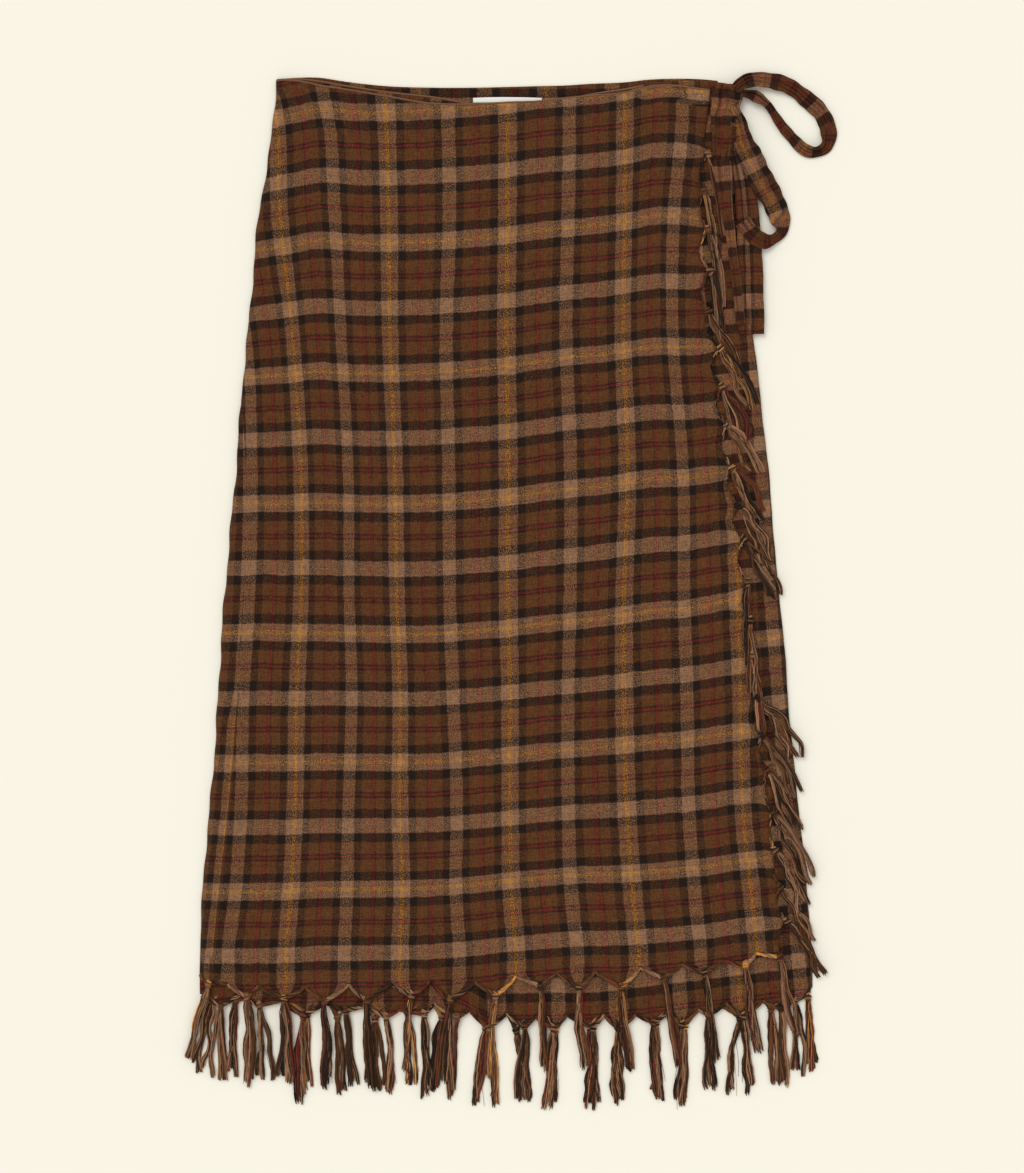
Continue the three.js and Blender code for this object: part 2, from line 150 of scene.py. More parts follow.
HALF_REPEAT = (46.8, 52.2)  # from a mustard line to the next plain tan band, across and along

# Where the over front's upright tan bands are across the skirt, at heights on the cloth. The
# columns are the bands' numbers, and even ones carry a mustard line.
OVER_BANDS = table(
    "y -5 -4 -3 -2 -1 0 1 2 3 4",
    (404, -240, -194, -151, -99, -49, -1, 48, 93, 138, 184),
    (391, -236, -188, -148.5, -98.5, -49, -1, 48, 93, 138, 184),
    (380, -232, -186, -146, -98, -49, -1, 48, 93, 138, 184),
    (304, -231, -183, -140, -96, -48, -1, 47, 93, 131, 180),
    (208, -211, -173, -135, -95, -51, -1.6, 45, 92, 130, 174),
    (96, -206, -166, -129, -91, -49, -0.4, 49, 95, 139, 178),
    (-16, -208.4, -166, -128, -89, -48, -0.4, 48.5, 92, 140, 183),
    (-72, -212, -169, -126, -87, -46, 1, 47, 92, 142, 185),
    (-184, -215, -171, -129, -87, -42, 1, 47, 95, 144, 188),
    (-240, -219, -174, -130, -85, -43, 2, 49, 99, 148, 194),
    (-288, -225, -178, -132, -87, -40, 6, 54, 104, 153, 199),
)
# Where its level tan bands are down the line at x -150.8, from the waist.
LEVEL_BANDS = table("band y", (0, 384), (9, -86.4), (13, -290.4))
# How much higher those bands lie elsewhere across the skirt. The columns are heights on the cloth.
BAND_RISES = table(
    "x -250 -10 170 330",
    (-215, -2, 0, -5, -14), (-197, -2, 1, -4, -9), (-178, -1.6, 0, -2.5, -5.5), (-151, 0, 0, 0, 0),
    (-123, 0.2, -0.8, -1.6, -1.8), (-55, 1.8, -1, 0, -0.6), (-27, 4, 1.2, 2, 1.6),
    (-1, 7, 3.2, 4.4, 4), (29, 9.6, 7, 8.8, 8.2), (48, 11.4, 8.6, 11.8, 9.6),
    (77, 12.2, 12, 14.4, 12.4), (93, 12.4, 14.4, 17, 14.4), (121, 14.4, 18, 20, 20),
    (140, 16, 19, 19.4, 19.4), (157, 17.4, 22, 21, 18), (177, 20.6, 25.6, 22, 18),
    (201, 23.6, 27, 24, 18),
)

PLEAT = table(
    "y x",
    (230, -221), (96, -210), (24, -210.6), (-16, -212.6), (-60, -215.4), (-79, -216),
    (-94, -217.4), (-120, -219.4), (-150, -221.6), (-182, -224.4), (-214, -228), (-250, -231.6),
    (-300, -237.6),
)
# From PLEAT_TOP down, over PLEAT_OPENS, a mustard band comes out from under the crease.
PLEAT_TOP, PLEAT_OPENS = -76, 34
PLEAT_FOOT = (-312, -288)  # the step at the crease fades out between these heights
PLEAT_STEP = {"high": 0.75, "right": 8, "left": 7}  # half its height, and how far it fades each way
PLEAT_BAND = {"band": -6, "beside": 0.5, "pitch": 37}  # its number, place by the crease and pitch
CREASE_GAP = 0.15  # between the two columns of points at the crease
CREASE_EDGE = 0.07  # a point this far to the left counts as under it
# The crease of the tuck below the waist, near the bow. The slack cloth above it lies over it.
TUCK = table(
    "x y",
    (100, 389.6), (111, 391), (130, 393.4), (140, 391.2), (150, 388.8), (160, 387.6),
)
TUCK_OPENS = (103, 112)  # it grows to its full depth between these places across
TUCK_DEEP, TUCK_EDGE = 5.2, 0.8  # how much of the check it hides, and half the height of the change
TUCK_DRAWN = {"from": 125, "share": 0.5}  # beyond this, the cloth above is drawn aside by a share
TUCK_STEP = {"below": -0.7, "above": 1.1, "fades": 5}  # heights at its crease, and their reach

# Where the walls below have a band of their own, how far apart their bands lie, how the under
# front's fan out, and how it is tilted and drawn up on the left.
UNDER_ORIGIN = {"x": 87.2, "y": -316, "pitch": 48.6, "fan": 0.00029, "middle": -60, "band": 1}
UNDER_TILT = {"from": 70, "right": 0.118, "left": 0.012}
UNDER_DRAWN = {"from": -8, "to": -48, "high": 16}
BACK_ORIGIN = {"x": -20, "y": 388, "pitch": 51.0, "band": 1}

# ---- the cloth's edges ----

PETAL = 0.72  # how full a hem's scallops are: 1 is straight from cusp to knot
BACK_PETAL = 1.6  # the same for the back's, which barely show
TAB = 1.15  # the same for the free edge's
TAB_END = 30  # how far the free edge's first and last scallops run, doubled
CELLS = 6  # columns of points from a cusp to the next knot
EDGE_OUT = 3.0  # how far outside the solid's cusps the dressed free edge runs
EDGE_REACH = 16  # how far in from the free edge its scallops draw the cloth
HEM_DRAWN, EDGE_DRAWN = 0.7, 0.6  # how much the check narrows into a hem's and the edge's knots
CORNER = {"up": 6, "deep": 0.35}  # how far above its first knot a hem starts, and how deep there
WAIST_ROWS = (0, 0.0008, 0.0016, 0.0022, 0.004)  # close rows of points at the waist's fold
# The painted highlight along the waist's fold, and how far down it goes.
FOLD_HIGHLIGHT = 0.0019  # how far down the fold's thin line goes, as a share of the wall's height
HEM_POWER, COLUMN_POWER = 40, 12  # how late rows come to the scallops, and columns to their places
WAIST = 409.0  # the height at which the walls' widths are shared out along the waist
SIDE_LOW = 2.0  # how high the over front's face still is where it has turned down at the side
RIM = 0.34  # share of a wall's thickness that each of its faces loses along the rim

# ---- the stage ----

LIGHT_TINT = (1.0, 0.985, 0.96)
VIEW_MIDDLE = (2.8, 2.8, 0.0)  # what the camera looks down on
CLOTH_TOP = 4  # the height of the plane where the view measures what its setting says

# ---- the cloth's relief ----

# Soft folds and creases: from, to, height and half width. A hollow's height is negative.
OVER_FOLDS = table(
    "from to high wide",
    ((-200, 60), (-236, -300), 3, 9), ((-150, 360), (-162, -40), 2.4, 20),
    ((-92, 300), (-84, -180), 1.6, 18), ((118, 250), (82, -30), 3.2, 12),
    ((152, 392), (128, 250), 3, 8), ((146, 396), (86, 372), 2, 8),
    ((20, 120), (34, -270), 1.4, 22), ((160, 60), (176, -250), 2, 14),
    ((-176, 392), (-186, 240), 1.5, 7), ((-168, 300), (-196, 120), -1, 8),
    ((-120, 380), (-132, 250), 0.9, 10), ((-60, 384), (-66, 300), 0.7, 9),
    ((60, 388), (70, 280), 0.8, 10), ((100, 392), (108, 300), 1.4, 7),
    ((140, 340), (104, 180), -1.4, 11), ((96, 130), (64, -60), -1.2, 16),
    ((-110, 160), (-118, -60), -1, 12), ((-140, -60), (-150, -280), 1, 14),
    ((-60, -120), (-70, -300), 0.8, 12), ((90, -120), (98, -290), 0.9, 12),
    ((140, -60), (150, -270), -1, 12), ((10, 370), (4, 200), 0.5, 16),
    ((-30, 240), (-20, 60), -0.6, 18),
)
UNDER_FOLDS = table(
    "from to high wide",
    ((196, 200), (226, -250), 1, 8), ((186, 330), (204, 120), 0.8, 5),
    ((212, -120), (228, -310), 0.8, 7), ((0, -290), (30, -335), 0.8, 9),
    ((150, -280), (158, -335), 0.8, 8),
)
RIPPLES, RIPPLE_HIGH = (190, 120, 75, 46), 0.35  # lengths of faint waves, and the longest's height

# ---- the bow ----

# Each length of strap: the middle of its width, its underside's height, its width and how far its
# face is rolled about its own line, in degrees.
STRAP_ROWS = "x y z wide roll"
STRAPS = {
    "upper_loop": table(
        STRAP_ROWS,
        (180, 399.5, 6.6, 7.5, 10), (187, 404.6, 6, 11, 14), (199, 408.4, 4.2, 12.8, 12),
        (214, 406.5, 2.6, 13.2, 8), (230.5, 399.5, 1.2, 12.8, 0), (247, 385.5, 0.7, 13.6, -4),
        (256.2, 369, 0.6, 13, 0), (255, 356, 0.6, 11.4, 24), (245.5, 350.8, 0.6, 9.4, 34),
        (235.5, 353.4, 0.7, 10, 14), (226, 363, 0.6, 9, 0), (214, 379, 0.8, 7.6, -14),
        (206.4, 388.4, 2, 7.8, -28), (198, 394.6, 3.4, 10.2, -16), (190, 397, 5, 6.8, -10),
        (182, 397, 6, 6, 0),
    ),
    "lower_loop": table(
        STRAP_ROWS,
        (179, 386, 6.6, 8, -6), (183.4, 373, 6.9, 12.5, -4), (188, 357, 7.1, 17.5, 0),
        (194, 343, 6.9, 20, 3), (202.5, 328, 5.2, 20, 9), (211.3, 311, 2.9, 19.4, 8),
        (217.3, 298, 1.6, 17, 10), (219, 288, 1.4, 12, 30), (213, 281.6, 2.2, 9.4, 34),
        (204, 279.2, 5, 12.4, 10), (194.8, 284, 6.3, 13.4, 0), (187.2, 294.6, 6.4, 13, 0),
    ),
    "square_tail": table(
        STRAP_ROWS,
        (182.6, 352, 4.2, 12, 0), (186.6, 336, 4, 15, 0), (190.4, 312, 3.9, 17.5, 0),
        (193.2, 262, 3.9, 20, 2), (194.2, 204.6, 3.8, 21, 0),
    ),
    "narrow_tail": table(
        STRAP_ROWS,
        (170.6, 349, 6.2, 14, 0), (171.4, 334, 5.9, 14.5, 0), (174, 306, 5.8, 10.5, -8),
        (177.8, 281, 5.7, 7.6, -10), (182, 246, 5.7, 7.2, 0), (185.6, 212, 5.7, 7.4, 0),
    ),
    "knot": table(
        STRAP_ROWS,
        (175.6, 404.6, 4, 18.5, 0), (174.6, 396, 4.2, 23, 0), (173.6, 384, 4.3, 24.2, 0),
        (172.8, 368, 4.4, 22, 0), (171.6, 354, 4.6, 18, 0), (170.8, 344, 5, 15, 0),
    ),
}
# The dents of a strap's upper face: height, waves across and along, and the number of their phase.
STRAP_WAVES = (
    (0.5, 4, 0.09, 0), (0.4, 8, -0.06, 1), (0.35, 2.5, 0.33, 3), (0.3, -3, 0.71, 2),
    (0.16, 5, 1.5, 5),
)
# How the check lies on each, and its creases: which upright band is at its middle, or at places
# across it from its right side to its left as it runs; which level band is at which of its rows,
# and how far apart they lie; how far the upright ones have slipped across beyond its last fold; and
# for each crease its place, depth and width.
# A strap's creases both dent it and darken its colour as painted shade.
STRAP_CLOTH = {
    "upper_loop": {
        "node": "bow_loop_upper",
        "middle": 0.5, "row": 0.4, "band": -0.42, "pitch": 52.2, "slip": 0.0,
        "creases": ((0.42, 1.0, 0.13), (-0.08, 0.55, 0.09), (-0.56, 0.9, 0.12)),
    },
    "lower_loop": {
        "node": "bow_loop_lower",
        "middle": 0.05, "row": 6.1, "band": 0.0, "pitch": 48.5, "slip": 0.42,
        "creases": ((-0.45, 0.6, 0.1), (0.5, 0.5, 0.09)),
    },
    "square_tail": {
        "node": "tail_square", "middle": None, "row": 0, "band": -1.34, "pitch": 52.2, "slip": 0.0,
        "creases": ((0.42, 0.9, 0.07), (-0.3, 0.4, 0.06)),
        "across": ((-1, 0.62), (-0.12, 0.8), (0, 0.9), (0.38, 1.13), (0.48, 1.24), (1, 1.5)),
    },
    "narrow_tail": {
        "node": "tail_narrow", "middle": None, "row": 0, "band": 0.68, "pitch": 52.2, "slip": 0.0,
        "creases": ((0.25, 0.5, 0.12),),
        "across": ((-1, 1.0), (-0.78, 0.93), (-0.66, 0.76), (0.2, 0.6), (1, 0.35)),
    },
    "knot": {
        "node": "bow_knot", "middle": 0.62, "row": 0, "band": -0.37, "pitch": 52.2, "slip": 0.0,
        "creases": ((0.62, 0.9, 0.08), (0.1, 0.4, 0.08), (-0.55, 0.7, 0.08)),
    },
}


# ---- sizes and colours that a user would change ----

def colour(name, description, srgb):
    """A colour setting whose default is given as it looks on screen, from 0 to 255."""
    linear = [((c / 255 + 0.055) / 1.055) ** 2.4 if c > 10 else c / 255 / 12.92 for c in srgb]
    return bpy.props.FloatVectorProperty(
        name=name, description=description, subtype="COLOR", size=3, min=0, max=1, default=linear
    )


def size(name, description, mm, top=1000):
    """A length setting whose default is given in millimetres."""
    return bpy.props.FloatProperty(
        name=name, description=description, default=mm * MM, min=0, max=top * MM, unit="LENGTH",
        precision=4,
    )


class SkirtDyes(bpy.types.PropertyGroup):
    tan: colour("Tan", "Yarn of the upright light bands", (139, 102, 75))
    fawn: colour("Fawn", "Yarn of the level light bands", (131, 96, 71))
    mustard: colour("Mustard", "Yarn of the thin line in every other light band", (186, 124, 44))
    dark: colour("Dark", "Yarn of the bands beside the light ones", (31, 20, 15))
    brown: colour("Brown", "Yarn of the ground", (88, 53, 27))
    ochre: colour("Ochre", "Yarn of the level line in every other light band", (160, 112, 58))
    red: colour("Red", "Yarn of the thin line in the ground", (102, 32, 28))
    line: colour("Fine line", "Yarn of the line beside the red one", (22, 15, 13))
    label: colour("Label", "Plain woven tape inside the waist", (250, 249, 242))


class SkirtCloth(bpy.types.PropertyGroup):
    thick: size("Thickness", "One wall of the cloth", 1.4, 3)
    gap: size("Gap", "Between one wall and the next", 0.5, 3)
    side_turn: size("Side turn", "How far in from the side the over front turns down", 6, 30)
    hem_lift: size("Hem lift", "How far the over front's hem stands off the wall below", 1.2, 5)


class SkirtFringe(bpy.types.PropertyGroup):
    yarn: size("Yarn", "Thickness of one yarn of the fringe", 0.95, 5)
    count: bpy.props.IntProperty(
        name="Yarns", description="Yarns in each tassel", default=34, min=4, max=60
    )
    sides: bpy.props.IntProperty(
        name="Sides", description="Faces round each yarn", default=4, min=3, max=12
    )
    long: size("Length", "From a hem's knot to the tassel's end", 71, 300)
    edge_long: size("Edge length", "From a knot of the free edge to the tassel's end", 76, 300)


class SkirtStrap(bpy.types.PropertyGroup):
    thick: size("Thickness", "The strap's folded cloth", 2.2, 10)
    knot_thick: size("Knot thickness", "The gathered cloth of the knot", 4.8, 15)


class SkirtStage(bpy.types.PropertyGroup):
    floor: colour("Floor", "Plain surface that the skirt lies on", (249, 246, 233))
    lens: bpy.props.FloatProperty(
        name="Lens", description="Focal length of the camera", default=85, min=20, max=300,
        unit="CAMERA",
    )
    view_height: size("View height", "Height of the view at the skirt", 938.4, 5000)
    key: bpy.props.FloatProperty(
        name="Key light", description="Strength of the soft light from the upper left",
        default=1.02, min=0,
    )
    fill: bpy.props.FloatProperty(
        name="Fill", description="Strength of the even light from all round", default=0.74, min=0
    )


# ---- plan helpers ----

def shift():
    """From the plan of the tables to the frame, in millimetres."""
    low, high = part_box("back_panel")
    top = max(row["back"] for row in WAISTS)
    return np.array([low.x / MM - SIDES[-1]["left"], high.y / MM - top, 0.0])


def smooth(rows, key, at, by):
    """A smooth curve through a table's column, with tangents from the rows on either side."""
    rows = sorted(rows, key=lambda row: row[by])
    xs = np.array([row[by] for row in rows], float)
    ys = np.array([row[key] for row in rows], float)
    slopes = np.gradient(ys, xs)
    at = np.clip(np.asarray(at, float), xs[0], xs[-1])
    i = np.clip(np.searchsorted(xs, at, side="right") - 1, 0, len(xs) - 2)
    step = xs[i + 1] - xs[i]
    t = (at - xs[i]) / step
    return (
        (1 + 2 * t) * (1 - t) ** 2 * ys[i]
        + t * (1 - t) ** 2 * step * slopes[i]
        + t * t * (3 - 2 * t) * ys[i + 1]
        + t * t * (t - 1) * step * slopes[i + 1]
    )


def side(key, y):
    """A side's place at a height, which wanders a little where it is a fold."""
    wander = sum(high * np.sin(np.asarray(y) * pace + phase) for high, pace, phase in WANDER)
    return smooth(SIDES, key, y, "y") + wander * WANDERS[key]


def waist(key, x):
    return smooth(WAISTS, key, x, "x")


def mix(a, b, share):
    return a + (b - a) * share


def ramp(value, start, end):
    """How far a value is from start to end, from 0 to 1."""
    return np.clip((value - start) / (end - start), 0, 1)


def eased(share):
    return share * share * (3 - 2 * share)


def relief(folds, x, y):
    """Height of a set of soft folds at points."""
    high = np.zeros_like(x)
    for fold in folds:
        start, end = np.array(fold["from"], float), np.array(fold["to"], float)
        run = end - start
        share = ((x - start[0]) * run[0] + (y - start[1]) * run[1]) / (run @ run)
        off = ((x - start[0]) * run[1] - (y - start[1]) * run[0]) / math.hypot(*run)
        bend = fold["wide"] * 0.35 * np.sin(share * 5 + start[0])  # its line wanders a little
        swell = np.sin(np.pi * np.clip(share, 0, 1)) ** 0.6
        high += fold["high"] * swell * np.exp(-(((off - bend) / fold["wide"]) ** 2))
    return high


def ripple(x, y, seed):
    """Faint unevenness of cloth that lies loose."""
    rng = np.random.default_rng(seed)
    high = np.zeros_like(x)
    for wave in RIPPLES:
        for _ in range(3):
            turn, phase = rng.uniform(0, math.tau, 2)
            along = (x * math.cos(turn) + y * math.sin(turn) * 0.6) / wave * math.tau
            high += wave / RIPPLES[0] * RIPPLE_HIGH * np.sin(along + phase)
    return high


# ---- the check's own coordinates ----

def tucked(x, y):
    """How far a place is above the tuck's crease, and how deep the tuck is there, from 0 to 1."""
    above = ramp(y - smooth(TUCK, "y", x, "x"), -TUCK_EDGE, TUCK_EDGE)
    return above, ramp(x, *TUCK_OPENS)


def opened(y):
    """How far the pleat is open at a height, from 0 to 1."""
    return eased(ramp(y, PLEAT_TOP, PLEAT_TOP - PLEAT_OPENS))


def columns(rows, at, by):
    """For a table with columns named by numbers: those numbers, and the columns at places."""
    names = [name for name in rows[0] if name != by]
    return np.array(names, float), np.stack([smooth(rows, name, at, by) for name in names], -1)


def pair(stack, i):
    """What the last axis holds at i and at the place after it."""
    return [np.take_along_axis(stack, (i + k)[..., None], -1)[..., 0] for k in (0, 1)]


def over_check(x, y):
    """The over front's place in the check: upright and level bands, one to each half repeat."""
    above, taken = tucked(x, y)
    y = y + TUCK_DEEP * above * taken
    x = x - TUCK_DRAWN["share"] * above * np.maximum(x - TUCK_DRAWN["from"], 0)
    numbers, places = columns(OVER_BANDS, y, "y")
    i = np.clip((places <= x[..., None]).sum(-1) - 1, 0, len(numbers) - 2)
    low, high = pair(places, i)
    u = numbers[i] + (x - low) / (high - low)
    crease = smooth(PLEAT, "x", y, "y")
    off = (x - crease + PLEAT_BAND["beside"]) / PLEAT_BAND["pitch"]
    turned = PLEAT_BAND["band"] + mix(u - PLEAT_BAND["band"] - 1, off, opened(y))
    u = np.where(x < crease - CREASE_EDGE, turned, u)
    heights, rises = columns(BAND_RISES, x, "x")
    place = np.interp(y, heights, np.arange(len(heights)))
    i = np.minimum(place.astype(int), len(heights) - 2)
    return u, -level_band(y - mix(*pair(rises, i), place - i))


def level_band(y):
    """Which level band is at a height where they are charted, counted down from the waist."""
    ys, bands = ([row[key] for row in LEVEL_BANDS[::-1]] for key in ("y", "band"))
    beyond = np.maximum(y - ys[-1], 0) + np.minimum(y - ys[0], 0)
    return np.interp(y, ys, bands) - beyond / HALF_REPEAT[1]


def under_check(x, y):
    """The under front's place in the check, which fans out towards its hem."""
    o, tilt, drawn = UNDER_ORIGIN, UNDER_TILT, UNDER_DRAWN
    lean = -o["fan"] * (x - o["middle"]) * (y - o["y"])
    u = (x - o["x"] - lean) / o["pitch"]
    rise = np.where(x > tilt["from"], tilt["right"], tilt["left"]) * (x - tilt["from"])
    rise = rise + drawn["high"] * eased(ramp(x, drawn["from"], drawn["to"]))
    return u, -(o["band"] + (o["y"] + rise - y) / HALF_REPEAT[1])


def back_check(x, y):
    """The back's place in the check, which runs straight."""
    o = BACK_ORIGIN
    return o["band"] + (x - o["x"]) / o["pitch"], -(o["band"] + (o["y"] - y) / HALF_REPEAT[1])


def check_at(check, row):
    """The check's coordinates at a row's place."""
    return [float(part[0]) for part in check(np.array([row["x"]]), np.array([row["y"]]))]


def yarn_at(chart, place):
    """The dye of the yarn at a place in the check, in half repeats."""
    total = sum(wide for _, wide in chart)
    at = (place / 2 % 1) * total
    for name, wide in chart:
        at -= wide
        if at < 0:
            return name
    return chart[-1][0]


# ---- meshes ----

def placed(name, data):
    """A mesh, light or camera as an object, in place of an earlier run's of the same name."""
    old = bpy.data.objects.get(name)
    if old is not None:
        bpy.data.objects.remove(old)
    made = bpy.data.objects.new(name, data)
    bpy.context.scene.collection.objects.link(made)
    return made


def woven(name, points, faces, checks):
    """A smooth piece of cloth from points in the plan, with the check's places as its UV map."""
    mesh = bpy.data.meshes.new(name)
    mesh.from_pydata((points + shift()) * MM, [], faces)
    layer = mesh.uv_layers.new(name="check")
    layer.data.foreach_set("uv", checks[np.concatenate(faces)].astype(np.float32).reshape(-1))
    mesh.polygons.foreach_set("use_smooth", [True] * len(faces))
    mesh.update()
    return placed(name, mesh)


def store(mesh, name, kind, field, values):
    """Keeps a value for each point of a mesh under a name."""
    layer = mesh.attributes.new(name, kind, "POINT")
    layer.data.foreach_set(field, np.array(values, np.float32).reshape(-1))


def shell(name, x, y, z, thick, check, rim=RIM):
    """A closed wall of cloth under a grid of points, whose two faces draw together at its rim."""
    top, under = np.stack([x, y, z], -1), np.stack([x, y, z - thick], -1)
    for edge in (np.s_[0, :], np.s_[-1, :], np.s_[:, 0], np.s_[:, -1]):
        gap = top[edge][..., 2] - under[edge][..., 2]
        top[edge][..., 2] -= gap * rim
        under[edge][..., 2] += gap * rim
    rows, across = top.shape[:2]
    count = rows * across
    at = np.arange(count).reshape(rows, across)
    a, b, c, d = at[:-1, :-1], at[:-1, 1:], at[1:, 1:], at[1:, :-1]
    upper = np.stack([d, c, b, a], -1).reshape(-1, 4)
    lower = np.stack([a, b, c, d], -1).reshape(-1, 4) + count
    ring = np.concatenate([at[0, :-1], at[:-1, -1], at[-1, :0:-1], at[:0:-1, 0]])
    after = np.roll(ring, -1)
    border = np.stack([ring, after, after + count, ring + count], -1)
    faces = np.concatenate([upper, lower, border]).tolist()
    points = np.concatenate([top.reshape(-1, 3), under.reshape(-1, 3)])
    return woven(name, points, faces, np.tile(np.stack(check, -1).reshape(-1, 2), (2, 1)))


def hem_line(hem, start, to_knot, petal):
    """A hem by its columns: places, feet, heights where scallops start, and nearest knots."""
    stops = [start]
    for row in hem:
        stops += [(row["x"], row["y"], 1.0), (row["cusp_x"], row["cusp_y"], 0.0)]
    if to_knot:
        stops.pop()
    xs, deep, near = [], [], []
    for (x0, y0, d0), (x1, y1, d1) in zip(stops, stops[1:]):
        for share in np.arange(CELLS) / CELLS:
            xs.append(mix(x0, x1, share))
            deep.append(mix(d0, d1, share) ** petal)
            near.append((x0, y0) if d0 > d1 else (x1, y1))
    xs.append(stops[-1][0])
    deep.append(stops[-1][2])
    near.append(near[-1])
    cusps = [stop for stop in stops if stop[2] < 1]
    line = np.interp(xs, [stop[0] for stop in cusps], [stop[1] for stop in cusps])
    near = np.array(near)
    return np.array(xs), line + (near[:, 1] - line) * np.array(deep), line, near


def edge_scallops(y):
    """How far the free edge stands out at each height, its nearest knot, and how near that is."""
    ys = np.array([row["y"] for row in EDGE_KNOTS], float)
    outs = np.array([row["x"] for row in EDGE_KNOTS]) - side("wrap", ys) - EDGE_OUT
    nearest = np.abs(y[:, None] - ys[None, :]).argmin(1)
    gap = y - ys[nearest]
    beyond = np.array([ys[0] + TAB_END, *ys, ys[-1] - TAB_END])[nearest + 2 * (gap <= 0)]
    share = np.clip(1 - np.abs(gap) / (np.abs(beyond - ys[nearest]) * 0.5), 0, 1)
    return outs[nearest] * share ** TAB - 1.0, ys[nearest], share


def settle(piece, material, *nodes, slot):
    """Gives a finished piece its material, hides the parts it takes the place of, and hangs it on
    the root body.
    """
    piece.data.materials.clear()
    piece.data.materials.append(material)
    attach(piece, "root")
    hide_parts(*nodes)
    return piece


# ---- materials ----

WOOL = {
    "Roughness": 0.92, "Specular IOR Level": 0.12,
    "Sheen Weight": 0.06, "Sheen Roughness": 0.55, "Sheen Tint": (0.85, 0.72, 0.6, 1),
}


def node(tree, kind, settings=None, **inputs):
    """A node with its settings, and its inputs as values or as the sockets that feed them."""
    made = tree.nodes.new(kind)
    for key, value in (settings or {}).items():
        setattr(made, key, value)
    for key, value in inputs.items():
        socket = made.inputs[int(key[1:])] if key[0] == "_" else made.inputs[key.replace("_", " ")]
        if isinstance(value, bpy.types.NodeSocket):
            tree.links.new(value, socket)
        else:
            socket.default_value = value
    return made


def maths(tree, operation, a, b=0.0):
    return node(tree, "ShaderNodeMath", {"operation": operation}, _0=a, _1=b).outputs[0]


def blended(tree, kind, share, a, b):
    settings = {"data_type": "RGBA", "blend_type": kind}
    return node(tree, "ShaderNodeMix", settings, _0=share, _6=a, _7=b).outputs[2]


def noise(tree, vector, scale, detail=2.0, roughness=0.5):
    return node(
        tree, "ShaderNodeTexNoise", Vector=vector, Scale=scale, Detail=detail, Roughness=roughness
    ).outputs["Fac"]


def added(tree, first, *others):
    for other in others:
        first = maths(tree, "ADD", first, other)
    return first


def swing(tree, value, by, middle=0.5):
    """A value's distance from its middle, scaled."""
    return maths(tree, "MULTIPLY", maths(tree, "SUBTRACT", value, middle), by)


def stretched(tree, vector, by):
    made = node(tree, "ShaderNodeVectorMath", {"operation": "MULTIPLY"}, _0=vector, _1=by)
    return made.outputs[0]


def held(tree, value, low, high):
    return node(tree, "ShaderNodeClamp", Value=value, Min=low, Max=high).outputs[0]


def grey(tree, value):
    return node(tree, "ShaderNodeCombineColor", _0=value, _1=value, _2=value).outputs[0]


def attribute(tree, name, output):
    return node(tree, "ShaderNodeAttribute", {"attribute_name": name}).outputs[output]


def chart_ramp(tree, chart, place, dyes, soft=0.4):
    """Colours of a chart of widths with soft edges, read at a place counted in half repeats."""
    total = sum(wide for _, wide in chart)
    ramp_node = tree.nodes.new("ShaderNodeValToRGB")
    stops = ramp_node.color_ramp.elements
    at, wanted = 0.0, []
    for name, wide in chart:
        tone = (*getattr(dyes, name), 1)
        edge = min(soft, wide * 0.3)
        first, last = at == 0, at + wide > total - 0.01
        if name == "line":
            wanted.append((at + wide / 2, tone))
        else:
            wanted += [(at + edge, tone)] * (not first) + [(at + wide - edge, tone)] * (not last)
        at += wide
    while len(stops) < len(wanted):
        stops.new(0.5)
    for stop, (place_at, tone) in zip(stops, wanted):
        stop.position, stop.color = place_at / total, tone
    tree.links.new(maths(tree, "FRACT", maths(tree, "MULTIPLY", place, 0.5)), ramp_node.inputs[0])
    return ramp_node.outputs["Color"]


